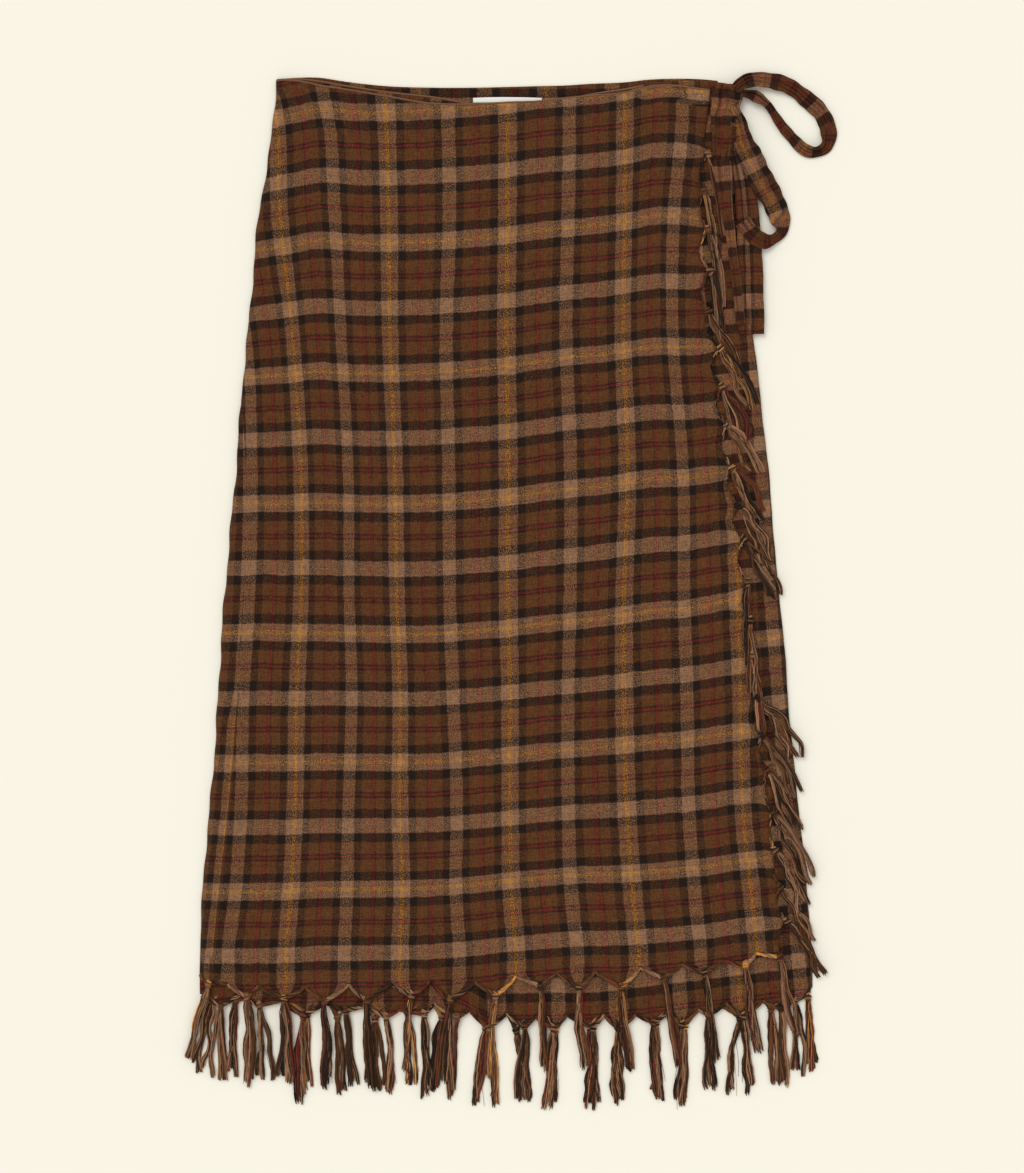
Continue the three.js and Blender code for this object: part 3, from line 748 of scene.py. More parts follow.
def check_group(dyes):
    """The woven check: colour and height of brushed twill, from the check's coordinates."""
    name = "Brushed check"
    if name in bpy.data.node_groups:
        return bpy.data.node_groups[name]
    tree = bpy.data.node_groups.new(name, "ShaderNodeTree")
    tree.interface.new_socket("Check", in_out="INPUT", socket_type="NodeSocketVector")
    tree.interface.new_socket("Colour", in_out="OUTPUT", socket_type="NodeSocketColor")
    tree.interface.new_socket("Height", in_out="OUTPUT", socket_type="NodeSocketFloat")
    check = tree.nodes.new("NodeGroupInput").outputs["Check"]
    parts = node(tree, "ShaderNodeSeparateXYZ", Vector=check)
    cloth = stretched(tree, check, (*HALF_REPEAT, 1))  # the same place in millimetres
    # The bands' edges wander by a yarn or so.
    wander = swing(tree, noise(tree, cloth, 0.09, 3), 0.045)
    frayed = swing(tree, noise(tree, cloth, 0.9, 1), 0.03)
    u, v = (added(tree, parts.outputs[k], wander, frayed) for k in (0, 1))
    # Warp and weft show in turn, in specks as long as a yarn's float. They are mixed in even steps
    # of how bright they look, as fine yarns side by side do.
    dyed = [chart_ramp(tree, WARP, u, dyes), chart_ramp(tree, WEFT, v, dyes)]
    even = [node(tree, "ShaderNodeGamma", _0=tone, _1=1 / 2.2).outputs[0] for tone in dyed]
    specks = noise(tree, stretched(tree, cloth, (1.0, 0.72, 1)), 1.15, 2, 0.6)
    turn = held(tree, added(tree, swing(tree, specks, 3.2), 0.61), 0.16, 0.92)
    mixed = node(tree, "ShaderNodeGamma", _0=blended(tree, "MIX", turn, *even), _1=2.2).outputs[0]
    # Single yarns are darker or lighter down and across the cloth, and so are fuzz and patches.
    down, across = (maths(tree, "MULTIPLY", part, by) for part, by in zip((u, v), HALF_REPEAT))
    yarns = added(
        tree,
        noise(tree, node(tree, "ShaderNodeCombineXYZ", X=down, Y=0.0).outputs[0], 0.75, 2),
        noise(tree, node(tree, "ShaderNodeCombineXYZ", Y=across, X=7.0).outputs[0], 0.7, 2),
    )
    fuzz = noise(tree, cloth, 1.0, 3, 0.75)
    drawn = (stretched(tree, cloth, by) for by in ((0.95, 0.16, 1), (0.16, 0.95, 1)))
    threads = added(tree, *(noise(tree, along, 1.0, 2, 0.6) for along in drawn))
    patches = noise(tree, cloth, 0.11, 3)
    shade = added(
        tree, swing(tree, yarns, 0.55, 1.0), swing(tree, fuzz, 2.3), swing(tree, threads, 1.2, 1.0),
        swing(tree, patches, 0.35), 1.0,
    )
    mottle_and_painted_shade = blended(tree, "MULTIPLY", 1.0, mixed, grey(tree, held(tree, shade, 0.3, 2.0)))
    # Twill: ribs run slantwise, one every millimetre or so.
    rib = maths(tree, "SINE", maths(tree, "MULTIPLY", added(tree, down, across), 5.2))
    height = added(
        tree, maths(tree, "MULTIPLY", rib, 0.22), fuzz, maths(tree, "MULTIPLY", specks, 0.6)
    )
    end = tree.nodes.new("NodeGroupOutput")
    tree.links.new(mottle_and_painted_shade, end.inputs["Colour"])
    tree.links.new(height, end.inputs["Height"])
    return tree


def wool(name, fill):
    """A woollen surface whose colour, height and depth come from what fill builds in its tree."""
    made = bpy.data.materials.get(name)
    if made is not None:
        return made
    made = bpy.data.materials.new(name)
    made.use_nodes = True
    tree = made.node_tree
    shader = tree.nodes["Principled BSDF"]
    tone, height, deep = fill(tree)
    tree.links.new(tone, shader.inputs["Base Color"])
    for label, value in WOOL.items():
        shader.inputs[label].default_value = value
    bump = node(tree, "ShaderNodeBump", Strength=0.6, Distance=deep * MM, Height=height)
    tree.links.new(bump.outputs[0], shader.inputs["Normal"])
    return made


def check_nodes(tree, dyes):
    """The colour and height of the check where a piece's UV map puts it."""
    place = node(tree, "ShaderNodeUVMap", {"uv_map": "check"}).outputs[0]
    made = node(tree, "ShaderNodeGroup", {"node_tree": check_group(dyes)}, Check=place)
    return made.outputs["Colour"], made.outputs["Height"]


def check_cloth(dyes):
    return wool("Brushed wool check", lambda tree: (*check_nodes(tree, dyes), 0.45))


def strap_cloth(dyes):
    """The same cloth, redder from handling, with painted shade in its creases and at its edges."""
    def fill(tree):
        tone, height = check_nodes(tree, dyes)
        rosy = blended(tree, "MULTIPLY", 1.0, tone, (1.04, 0.98, 1.0, 1))
        # Painted shade: the colour is darkened by the strap's crease attribute.
        crease = attribute(tree, "crease", "Fac")
        return blended(tree, "MULTIPLY", crease, rosy, (0.34, 0.3, 0.3, 1)), height, 0.5

    return wool("Strap cloth", fill)


def fringe_yarn():
    """Fuzzy plied yarn in the dye that each point of its path has."""
    def fill(tree):
        place = node(tree, "ShaderNodeTexCoord").outputs["Object"]
        fuzz, streak = noise(tree, place, 1400.0, 3, 0.7), noise(tree, place, 260.0, 2)
        tone = added(tree, *(maths(tree, "MULTIPLY", part, 0.7) for part in (fuzz, streak)), 0.3)
        dye = attribute(tree, "dye", "Color")
        return blended(tree, "MULTIPLY", 1.0, dye, grey(tree, tone)), fuzz, 0.3

    return wool("Fringe yarn", fill)


def label_tape(dyes):
    """Plain tape with fine slanting ribs."""
    def fill(tree):
        place = node(tree, "ShaderNodeTexCoord").outputs["Object"]
        weave = node(
            tree, "ShaderNodeTexWave", {"wave_type": "BANDS", "bands_direction": "DIAGONAL"},
            Vector=place, Scale=700.0, Distortion=0.6,
        ).outputs["Fac"]
        darker = (*[part * 0.93 for part in dyes.label], 1)
        return blended(tree, "MIX", weave, darker, (*dyes.label, 1)), weave, 0.1

    return wool("Label tape", fill)


# ---- yarns ----

class Yarns:
    """Paths of dyed yarn, each with its thickness, which Geometry Nodes turn into round yarns."""

    def __init__(self, fringe, dyes, seed):
        self.fringe, self.dyes, self.rng = fringe, dyes, np.random.default_rng(seed)
        self.points, self.edges, self.thick, self.tones = [], [], [], []

    def shade(self, dye):
        """A yarn's own shade of a dye, with a little of the cloth's other colours spun in."""
        plain, tan, brown = (np.array(getattr(self.dyes, each)) for each in (dye, "tan", "brown"))
        tone = mix(plain, mix(tan, brown, 0.4), self.rng.uniform(0.0, 0.14))
        return np.clip(tone * self.rng.uniform(0.5, 1.62), 0.003, 1)

    def add(self, path, thick, dye):
        """One yarn, lifted where it would sink into the surface below."""
        start = len(self.points)
        path = np.array(path)
        path[:, 2] = np.maximum(path[:, 2], np.asarray(thick) / 2 + CLEAR)
        self.points += [tuple(p) for p in path]
        self.edges += [(start + i, start + i + 1) for i in range(len(path) - 1)]
        self.thick += list(np.broadcast_to(thick, len(path)))
        self.tones += [(*self.shade(dye), 1.0)] * len(path)

    def build(self, name, solid):
        """The yarns as one plain mesh, which stands for a solid."""
        mesh = bpy.data.meshes.new(name + "_paths")
        mesh.from_pydata((np.array(self.points) + shift()) * MM, self.edges, [])
        store(mesh, "thickness", "FLOAT", "value", np.array(self.thick, np.float32) * MM)
        store(mesh, "dye", "FLOAT_COLOR", "color", self.tones)
        paths = placed(name + "_paths", mesh)
        modifier = paths.modifiers.new("Yarns", "NODES")
        modifier.node_group = tree = yarn_tree()
        wanted = {"Sides": self.fringe.sides, "Material": fringe_yarn()}
        for item in tree.interface.items_tree:
            if item.item_type == "SOCKET" and item.in_out == "INPUT" and item.name in wanted:
                modifier[item.identifier] = wanted[item.name]
        shown = paths.evaluated_get(bpy.context.evaluated_depsgraph_get())
        made = bpy.data.meshes.new_from_object(shown)
        made.name = name
        bpy.data.objects.remove(paths)
        bpy.data.meshes.remove(mesh)
        return settle(placed(name, made), fringe_yarn(), solid, slot="fringe_yarn")


def yarn_tree():
    """Geometry Nodes: round yarns along paths, as thick as each point says."""
    name = "Round yarns"
    if name in bpy.data.node_groups:
        return bpy.data.node_groups[name]
    tree = bpy.data.node_groups.new(name, "GeometryNodeTree")
    for label, kind in (("Geometry", "Geometry"), ("Sides", "Int"), ("Material", "Material")):
        tree.interface.new_socket(label, in_out="INPUT", socket_type="NodeSocket" + kind)
    tree.interface.new_socket("Geometry", in_out="OUTPUT", socket_type="NodeSocketGeometry")
    start = tree.nodes.new("NodeGroupInput")
    curves = node(tree, "GeometryNodeMeshToCurve", _0=start.outputs["Geometry"])
    thick = node(tree, "GeometryNodeInputNamedAttribute", {"data_type": "FLOAT"}, Name="thickness")
    half = maths(tree, "MULTIPLY", thick.outputs["Attribute"], 0.5)
    ring = node(
        tree, "GeometryNodeCurvePrimitiveCircle", Resolution=start.outputs["Sides"], Radius=1.0
    )
    round_yarn = node(
        tree, "GeometryNodeCurveToMesh",
        Curve=curves.outputs[0], Profile_Curve=ring.outputs[0], Scale=half, Fill_Caps=True,
    )
    soft = node(tree, "GeometryNodeSetShadeSmooth", _0=round_yarn.outputs[0])
    real = node(tree, "GeometryNodeRealizeInstances", _0=soft.outputs[0])
    finished = node(
        tree, "GeometryNodeSetMaterial",
        Geometry=real.outputs[0], Material=start.outputs["Material"],
    )
    tree.links.new(finished.outputs[0], tree.nodes.new("NodeGroupOutput").inputs[0])
    return tree


# Each turn of yarn round a knot: how far down the knot it lies, and how wide it is.
KNOT_TURNS = ((-2.7, 1.4), (-1.7, 2.0), (-0.6, 2.5), (0.5, 2.5), (1.6, 2.2), (2.6, 1.7))
KNOT_HIGH, KNOT_LEAST = 1.3, 2.2  # half a knot's height, and the least height of its middle
GOLDEN_TURN = 2.39996  # the angle from one yarn of a lock to the next, which packs them evenly
OWN_DYES = {"tan": 0.42, "dark": 0.32, "brown": 0.17, "red": 0.09}  # how often each is a lock's own
OWN_SHARE = 0.4  # how many of a lock's yarns have its own dye
ROPE_THICK, STRAY_THICK = 1.65, 0.34  # a knot's yarns and stray threads, beside the others
ROPE_FAR = 0.36  # how far off in the check a hem's rope takes up its first yarn
HEM_DOWN = (-378, -344)  # a hem's yarns come down to the surface between these heights
HEM_LEAVE = (0.0, 0.0, 0.06, 0.16, 0.3, 0.45)  # where a hem's rope takes up each of its yarns
EDGE_LEAVE = (0.3, 0.5, 0.65)  # the same for the free edge's


def tassel(yarns, knot, z, lean, bend, long, chart, place, rest, full=1.0, wave=1.0, spread=1.0):
    """A knot, and the loose yarns below it, which part into a few locks with blunt, uneven ends.

    The yarns leave the knot at lean plus bend, in degrees from the hem's own way, and end at lean.
    They lie on what rest gives for a place along Y. A full one has more yarns and is wider, wave
    says how much its locks wander, and spread how far apart they lie.
    """
    rng, thick = yarns.rng, yarns.fringe.yarn / MM
    ts = np.linspace(0, 1, 19)
    taper = np.concatenate([np.ones(len(ts) - 2), [0.95, 0.7]])
    turned = np.radians(lean + bend * (1 - ts) ** 1.6)
    steps = np.stack([np.sin(turned), -np.cos(turned)], -1)[:-1] / (len(ts) - 1)
    run = np.concatenate([np.zeros((1, 2)), np.cumsum(steps, axis=0)])
    ways = np.stack([np.cos(turned), np.sin(turned)], -1)
    down = np.array([math.sin(turned[0]), -math.cos(turned[0]), 0.0])
    across = np.array([math.cos(turned[0]), math.sin(turned[0]), 0.0])
    up = np.array([0.0, 0.0, 1.0])
    head = np.array([*knot, max(z + 0.8, KNOT_LEAST)])
    # The turns of the knot, widest at its middle.
    turns = np.linspace(0, math.tau * 1.1, 12)
    wound = [yarn_at(chart, place + rng.uniform(-0.3, 0.3)) for _ in range(3)]
    for k, (along, wide) in enumerate(KNOT_TURNS):
        tilt, first = rng.uniform(-1.0, 1.0), rng.uniform(0, math.tau)
        wide *= rng.uniform(0.9, 1.12)
        ring = [
            head + across * math.cos(a) * wide + up * math.sin(a) * KNOT_HIGH
            + down * (along + math.cos(a) * tilt)
            for a in turns + first
        ]
        yarns.add(ring, thick * ROPE_THICK, wound[k % 3])
    # The locks, side by side, with the cloth's own order of colours across them.
    locks = int(rng.integers(3, 5) * full ** 0.5)
    sides = np.linspace(-1, 1, locks) + rng.uniform(-0.25, 0.25, locks)
    reach = rng.uniform(1.6, 3.6) * full * spread
    wides = rng.uniform(1.3, 2.1, locks)
    bends = rng.uniform(-2.4, 2.4, locks) * wave
    sways = rng.uniform(-1.4, 1.4, locks) * wave
    paces = rng.uniform(1.1, 2.1, locks)
    ends = rng.uniform(0.85, 1.0, locks)
    twists = rng.uniform(-2.4, 2.4, locks)
    own = rng.choice(list(OWN_DYES), locks, p=list(OWN_DYES.values()))
    each = int(yarns.fringe.count * full) // locks
    for k in range(locks):
        line = sides[k] * reach * np.minimum(1, ts * 1.3) ** 0.8
        line = line + bends[k] * np.sin(math.pi * ts * 0.95)
        line = line + sways[k] * np.sin(math.tau * paces[k] * ts)
        swell = 1.4 + (wides[k] - 1.4) * np.minimum(1, ts * 4) ** 0.8
        for i in range(each):
            out, way = math.sqrt((i + 0.5) / each), i * GOLDEN_TURN
            turn = way + twists[k] * ts
            crimp = rng.uniform(0.1, 0.35) * np.sin(ts * rng.uniform(18, 34) + rng.uniform(0, 6))
            side_way = line + out * np.cos(turn) * swell + crimp
            high = (out * np.sin(turn) + 1) * swell * 0.62 + crimp * 0.5
            length = long * ends[k] * rng.uniform(0.96, 1.015)
            flat = np.array(knot) + run * length + ways * side_way[:, None] + 1.0 * down[:2]
            base = rest(flat[:, 1])
            base = base + np.maximum(z - base, 0) * (1 - np.minimum(1, ts * 3)) ** 1.3
            path = np.column_stack([flat, base + high])
            share = (k + 0.5 + 0.5 * out * math.cos(way)) / locks * 2 - 1
            name = yarn_at(chart, place + 0.4 * share)
            if rng.random() < OWN_SHARE:
                name = own[k]
            yarns.add(path, thick * rng.uniform(0.8, 1.15) * taper, name)
    # Stray threads.
    for _ in range(int(rng.integers(0, 3))):
        length, away, own = long * rng.uniform(0.7, 1.0), rng.uniform(-6, 6), rng.uniform(0, 6)
        side_way = away * ts ** 1.6 + 1.6 * np.sin(5 * ts + own)
        flat = np.array(knot) + run * length + ways * side_way[:, None]
        path = np.column_stack([flat, rest(flat[:, 1]) + 1.2 + (1 - ts) * 1.5])
        yarns.add(path, thick * STRAY_THICK, yarn_at(chart, place + rng.uniform(-0.3, 0.3)))


def rope(yarns, line, chart, places, thick, leave=HEM_LEAVE):
    """Yarns that leave the cloth in turn along a scallop's edge, and twist into its knot."""
    whole = np.linspace(0, 1, len(line))
    for k, share in enumerate(leave):
        ts = np.linspace(share, 1, 10)
        middle = np.stack([np.interp(ts, whole, line[:, i]) for i in range(3)], -1)
        turn = 7.0 * ts + k * 2.4
        round_way = thick * 0.8 * (0.35 + 0.65 * ts)
        way = np.gradient(middle[:, :2], axis=0)
        way /= np.maximum(np.linalg.norm(way, axis=1, keepdims=True), 1e-6)
        path = middle + np.column_stack([
            -way[:, 1] * round_way * np.cos(turn), way[:, 0] * round_way * np.cos(turn),
            round_way * np.sin(turn) + 0.3 * np.sin(math.pi * ts),
        ])
        name = yarn_at(chart, mix(*places, share))
        yarns.add(path, thick * np.linspace(0.8, 1.25, 10), name)


def hem_petal(cusp, knot, z, petal):
    """The edge of a hem's scallop, from its cusp down to its knot."""
    ts = np.linspace(0, 1, 12)
    return np.column_stack([
        mix(cusp[0], knot[0], ts), cusp[1] + (knot[1] - cusp[1]) * ts ** petal, z - 0.3 + 0.8 * ts
    ])


def edge_petal(knot, half, z):
    """The edge of one of the free edge's scallops, from its cusp to its knot."""
    ts = np.linspace(0, 1, 12)
    ys = knot[1] + half * (1 - ts)
    wrap = side("wrap", ys) + EDGE_OUT - 1.0
    out = knot[0] - float(side("wrap", knot[1])) - EDGE_OUT
    return np.column_stack([wrap + out * ts ** TAB, ys, z - 0.6 + 0.8 * ts])


# ---- the pieces ----

# The hem fringes: piece, solid, hem, check, wall, share of the full length, least height of a yarn.
HEM_FRINGES = (
    ("over_hem_tassels", "over_hem_fringe", OVER_HEM, over_check, "over", 1.0, 1.4),
    ("under_hem_tassels", "under_hem_fringe", UNDER_HEM, under_check, "under", 0.94, 0.5),
    ("back_hem_tassels", "back_hem_fringe", BACK_HEM, back_check, "back", 0.86, 0.15),
)
# The free edge's tassels, down to the knot with each number: limits of lean, bend and length.
EDGE_TASSELS = (
    (4, (3, 8), (6, 18), (0.74, 0.9)),
    (6, (16, 22), (12, 20), (0.8, 0.9)),
    (14, (17, 25), (10, 26), (0.6, 0.74)),
    (21, (18, 26), (8, 22), (0.68, 0.9)),
)
NEAT, LOOSE = (0.9, 0.8, 1.0), (1.45, 1.4, 1.15)  # how full a tassel is, how wavy, how far spread
EDGE_END = 24  # how far the scallops run beyond the first and the last of those knots, doubled
EDGE_SEED = 4  # of the free edge's random draws


def levels(cloth):
    """Heights of the walls' undersides, in millimetres."""
    step = (cloth.thick + cloth.gap) / MM
    return {"back": CLEAR, "under": step, "over": 2 * step}


def walls(
    name, rows, hem, check, edges, folds, cloth, key, level, highlight_to=1000, free=False, petal=PETAL
):
    """A wall of cloth between its side edges, from its waist to its scalloped hem.

    The one with the free edge is scalloped there too, and has the pleat. The waist's edge is
    turned in, with a thin painted highlight along its fold in the check's lightest colours, as far
    across as the limit given for it. Gives the places of its top face, the check there, its left
    and right edges, and how far down it and its scallops each point is.
    """
    left_edge, right_edge = edges
    corner = hem[0]["y"] + CORNER["up"]
    start = (float(left_edge(corner)), corner, CORNER["deep"])
    xs, foot, line, knots = hem_line(hem, start, free, petal)
    crease = int(np.abs(xs - PLEAT[-1]["x"]).argmin())
    if free:  # two columns side by side run down the pleat's crease
        xs, foot, line = (np.insert(row, crease, row[crease]) for row in (xs, foot, line))
        knots = np.insert(knots, crease, knots[crease], axis=0)
        xs[crease] -= CREASE_GAP
    share = (xs - xs[0]) / (xs[-1] - xs[0])
    top = waist(key, mix(left_edge(WAIST), right_edge(WAIST), share))
    t = np.concatenate([WAIST_ROWS, np.linspace(0.006, 1, rows)])[:, None]
    straight = mix(top, line, t)
    y = straight + (foot - line) * t ** HEM_POWER
    left, right = left_edge(straight), right_edge(straight)
    x = mix(mix(left, right, share[None, :]), xs[None, :], t ** COLUMN_POWER)
    if free:
        wanted = np.maximum(smooth(PLEAT, "x", y[:, crease + 1], "y"), left[:, 0] + 0.4)
        pull = (wanted - x[:, crease + 1]) * (1 - t[:, 0] ** COLUMN_POWER)
        reach = np.interp(np.arange(len(xs)), (0, crease, crease + 1, crease + 11), (0, 1, 1, 0))
        x = x + pull[:, None] * reach
        x[:, crease] = x[:, crease + 1] - CREASE_GAP
    deep = np.clip((line - y) / np.maximum(line - knots[:, 1], 1.0), 0, 1)
    near = knots[:, 0][None, :]
    pull_x = near + (x - near) / np.maximum(1 - HEM_DRAWN * deep, 0.25)
    pull_y = y
    if free:
        out, knot_y, tab = edge_scallops(straight[:, -1])
        strength = ramp(x, right - EDGE_REACH, right) ** 2
        fade = ramp(t, 1, 0.97)
        x = x + out[:, None] * strength * fade
        squeeze = 1 - EDGE_DRAWN * (tab ** TAB)[:, None] * strength
        pull_y = mix(y, knot_y[:, None] + (y - knot_y[:, None]) / np.maximum(squeeze, 0.3), fade)
    u, v = check(pull_x, pull_y)
    # Painted highlight: along the waist's fold a thin strip takes the check's lightest crossing,
    # tan on fawn.
    fold_highlight = (t < FOLD_HIGHLIGHT) & (x < highlight_to)
    u, v = np.where(fold_highlight, 1.0, u), np.where(fold_highlight, -1.0, v)
    thick = cloth.thick / MM
    z = level + thick + relief(folds, x, y) + 0.5 * ripple(x, y, len(name))
    return x, y, np.maximum(z, level + thick * 0.9), u, v, left, right, deep, t


class SKIRT_OT_back(bpy.types.Operator):
    """Make the back wall, which lies on the surface"""

    bl_idname = "skirt.back"
    bl_label = "Back"

    def execute(self, context):
        name = "back_cloth"
        cloth, dyes = context.scene.skirt_cloth, context.scene.skirt_dyes
        edges = (lambda y: side("left", y), lambda y: side("right", y))
        level, thick = levels(cloth)["back"], cloth.thick / MM
        x, y, _, u, v, *_ = walls(
            name, 90, BACK_HEM, back_check, edges, [], cloth, "back", level,
            highlight_to=-1000, petal=BACK_PETAL,
        )
        piece = shell(name, x, y, np.full_like(x, level + thick), thick, (u, v))
        settle(piece, check_cloth(dyes), "back_panel", slot="plaid_cloth")
        return {"FINISHED"}


class SKIRT_OT_under_front(bpy.types.Operator):
    """Make the under front, which lies on the back"""

    bl_idname = "skirt.under_front"
    bl_label = "Under front"

    def execute(self, context):
        name = "under_front_cloth"
        cloth, dyes = context.scene.skirt_cloth, context.scene.skirt_dyes
        edges = (lambda y: side("left", y) + 5, lambda y: side("right", y) - 0.3)
        level, thick = levels(cloth)["under"], cloth.thick / MM
        x, y, z, u, v, _, right, *_ = walls(
            name, 150, UNDER_HEM, under_check, edges, UNDER_FOLDS, cloth, "under", level,
            highlight_to=108,
        )
        z = z - (level - 0.6) * ramp(x, right - 4, right) ** 2  # it turns down at the side
        piece = shell(name, x, y, z, thick, (u, v))
        settle(piece, check_cloth(dyes), "under_front", slot="plaid_cloth")
        return {"FINISHED"}


class SKIRT_OT_over_front(bpy.types.Operator):
    """Make the over front, with its soft folds and its two scalloped edges"""

    bl_idname = "skirt.over_front"
    bl_label = "Over front"

    def execute(self, context):
        name = "over_front_cloth"
        cloth, dyes = context.scene.skirt_cloth, context.scene.skirt_dyes
        edges = (lambda y: side("left", y), lambda y: side("wrap", y) + EDGE_OUT)
        level, thick = levels(cloth)["over"], cloth.thick / MM
        x, y, z, u, v, left, _, deep, t = walls(
            name, 250, OVER_HEM, over_check, edges, OVER_FOLDS, cloth, "over", level, free=True
        )
        z = z + cloth.hem_lift / MM * t ** 14 + 0.8 * deep ** 2
        # The pleat's right side lies over its left one.
        beyond = x - smooth(PLEAT, "x", y, "y")
        over = np.exp(-np.abs(beyond) / PLEAT_STEP["right"])
        below = -np.exp(beyond / PLEAT_STEP["left"])
        step = PLEAT_STEP["high"] * np.where(beyond < -CREASE_EDGE, below, over)
        z = z + step * opened(y) * ramp(y, *PLEAT_FOOT)
        # So does the cloth above the tuck.
        above, taken = tucked(x, y)
        near = np.exp(-np.abs(y - smooth(TUCK, "y", x, "x")) / TUCK_STEP["fades"])
        z = z + taken * mix(TUCK_STEP["below"], TUCK_STEP["above"], above) * near
        inward = ramp(x, left, left + cloth.side_turn / MM)
        z = mix(SIDE_LOW, z, np.sqrt(1 - (1 - inward) ** 2))
        piece = shell(name, x, y, z, thick, (u, v))
        settle(piece, check_cloth(dyes), "over_front", slot="plaid_cloth")
        return {"FINISHED"}


class SKIRT_OT_hem_fringes(bpy.types.Operator):
    """Make the knotted fringes of the three hems"""

    bl_idname = "skirt.hem_fringes"
    bl_label = "Hem fringes"

    def execute(self, context):
        cloth, dyes = context.scene.skirt_cloth, context.scene.skirt_dyes
        fringe = context.scene.skirt_fringe
        thick, high = cloth.thick / MM, levels(cloth)
        below = {"over": high["under"], "under": high["back"], "back": -thick}
        for name, solid, hem, check, key, share, lowest in HEM_FRINGES:
            yarns = Yarns(fringe, dyes, len(name))
            rng = yarns.rng
            z = high[key] + thick + (cloth.hem_lift / MM if key == "over" else 0)
            petal = BACK_PETAL if key == "back" else PETAL

            def rest(y):  # on the wall below, and then down to the surface beyond its hem
                return np.interp(y, HEM_DOWN, (lowest, max(below[key] + thick + 0.2, lowest)))

            before = (float(side("left", hem[0]["y"])) + 1, hem[0]["y"] + 7)
            for k, row in enumerate(hem):
                knot, cusp = (row["x"], row["y"]), (row["cusp_x"], row["cusp_y"])
                u = check_at(check, row)[0]
                lean = row.get("lean", rng.uniform(-5, 5))
                long = fringe.long / MM * share * rng.uniform(0.93, 1.06)
                bend = rng.uniform(-12, 12)
                full = row.get("full", 1.0)
                tassel(yarns, knot, z, lean, bend, long, WARP, u, rest, full)
                for start, far in ((before, -ROPE_FAR), (cusp, ROPE_FAR)):
                    if far < 0 or k < len(hem) - 1:
                        line = hem_petal(start, knot, z, petal)
                        rope(yarns, line, WARP, (u + far, u), fringe.yarn / MM * ROPE_THICK)
                before = cusp
            yarns.build(name, solid)
        return {"FINISHED"}


class SKIRT_OT_edge_fringe(bpy.types.Operator):
    """Make the knotted fringe down the over front's free edge"""

    bl_idname = "skirt.edge_fringe"
    bl_label = "Edge fringe"

    def execute(self, context):
        cloth, fringe = context.scene.skirt_cloth, context.scene.skirt_fringe
        yarns = Yarns(fringe, context.scene.skirt_dyes, EDGE_SEED)
        rng = yarns.rng
        z = levels(cloth)["over"] + cloth.thick / MM + 0.6
        low = levels(cloth)["under"] + cloth.thick / MM + 0.2
        ys = [row["y"] for row in EDGE_KNOTS]
        ys = [ys[0] + EDGE_END, *ys, ys[-1] - EDGE_END]
        for k, row in enumerate(EDGE_KNOTS):
            knot = (row["x"], row["y"])
            v = check_at(over_check, row)[1]
            # Where a row has its own lean, the tassel hangs. The others lie across the wall below.
            hangs = "lean" in row
            if hangs:
                lean, bend, share = row["lean"], rng.uniform(-4, 8), rng.uniform(0.84, 0.92)
            else:
                ranges = next(ranges for before, *ranges in EDGE_TASSELS if k < before)
                lean, bend, share = (rng.uniform(*limits) for limits in ranges)
            full, wave, spread = NEAT if hangs or k < EDGE_TASSELS[0][0] else LOOSE
            surface = z if hangs else low
            tassel(
                yarns, knot, z, lean, bend, fringe.edge_long / MM * share, WEFT, v,
                lambda y: np.full_like(y, surface), full, wave, spread,
            )
            for half in ((ys[k] - knot[1]) / 2, (ys[k + 2] - knot[1]) / 2):
                places = (v - half / HALF_REPEAT[1], v)
                line = edge_petal(knot, half, z)
                rope(yarns, line, WEFT, places, fringe.yarn / MM * 1.3, EDGE_LEAVE)
        yarns.build("over_edge_tassels", "over_edge_fringe")
        return {"FINISHED"}


class SKIRT_OT_label(bpy.types.Operator):
    """Make the blank label tape inside the waist"""

    bl_idname = "skirt.label"
    bl_label = "Label"

    def execute(self, context):
        low, high = (np.array(corner) / MM - shift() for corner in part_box("waist_label"))
        s = np.linspace(0, 1, 40)
        t = np.linspace(0, 1, 8)[:, None]
        x = mix(*LABEL_SPAN, s) + 0 * t
        y = mix(high[1] - 0.6 * (2 * s - 1) ** 2, low[1], t)
        z = 3.2 + 0.25 * np.sin(s * 5) - 0.7 * t
        piece = shell("label_tape", x, y, z, 0.6, (x * 0.02, y * 0.02), rim=0)
        settle(piece, label_tape(context.scene.skirt_dyes), "waist_label", slot="label_tape")
        return {"FINISHED"}


def crease_depths_and_shade(name, off, far, whole, creases, phases):
    """How deep a strap's creases and gathers are; they dent it and are painted as shade."""
    mottle_and_painted_shade = np.zeros(np.broadcast_shapes(off.shape, far.shape))
    for place, deep, narrow in creases:
        drift = place + 0.16 * np.sin(far * 0.07 + phases[4])
        drift = drift + 0.05 * np.sin(far * 0.31 + phases[0])
        deep = deep * (0.7 + 0.3 * np.sin(far * 0.11 + phases[3]))
        mottle_and_painted_shade += deep * np.exp(-(((off - drift) / narrow) ** 2))
    if name.endswith("loop"):  # a loop is gathered where it leaves the knot
        # The gathers deepen its dents, and darken its colour as painted shade.
        gather = np.exp(-far / 20) + np.exp((far - whole) / 16)
        mottle_and_painted_shade += 0.9 * gather * (0.5 + 0.5 * np.sin(off * 9 + phases[1] + far * 0.05)) ** 2
    return mottle_and_painted_shade


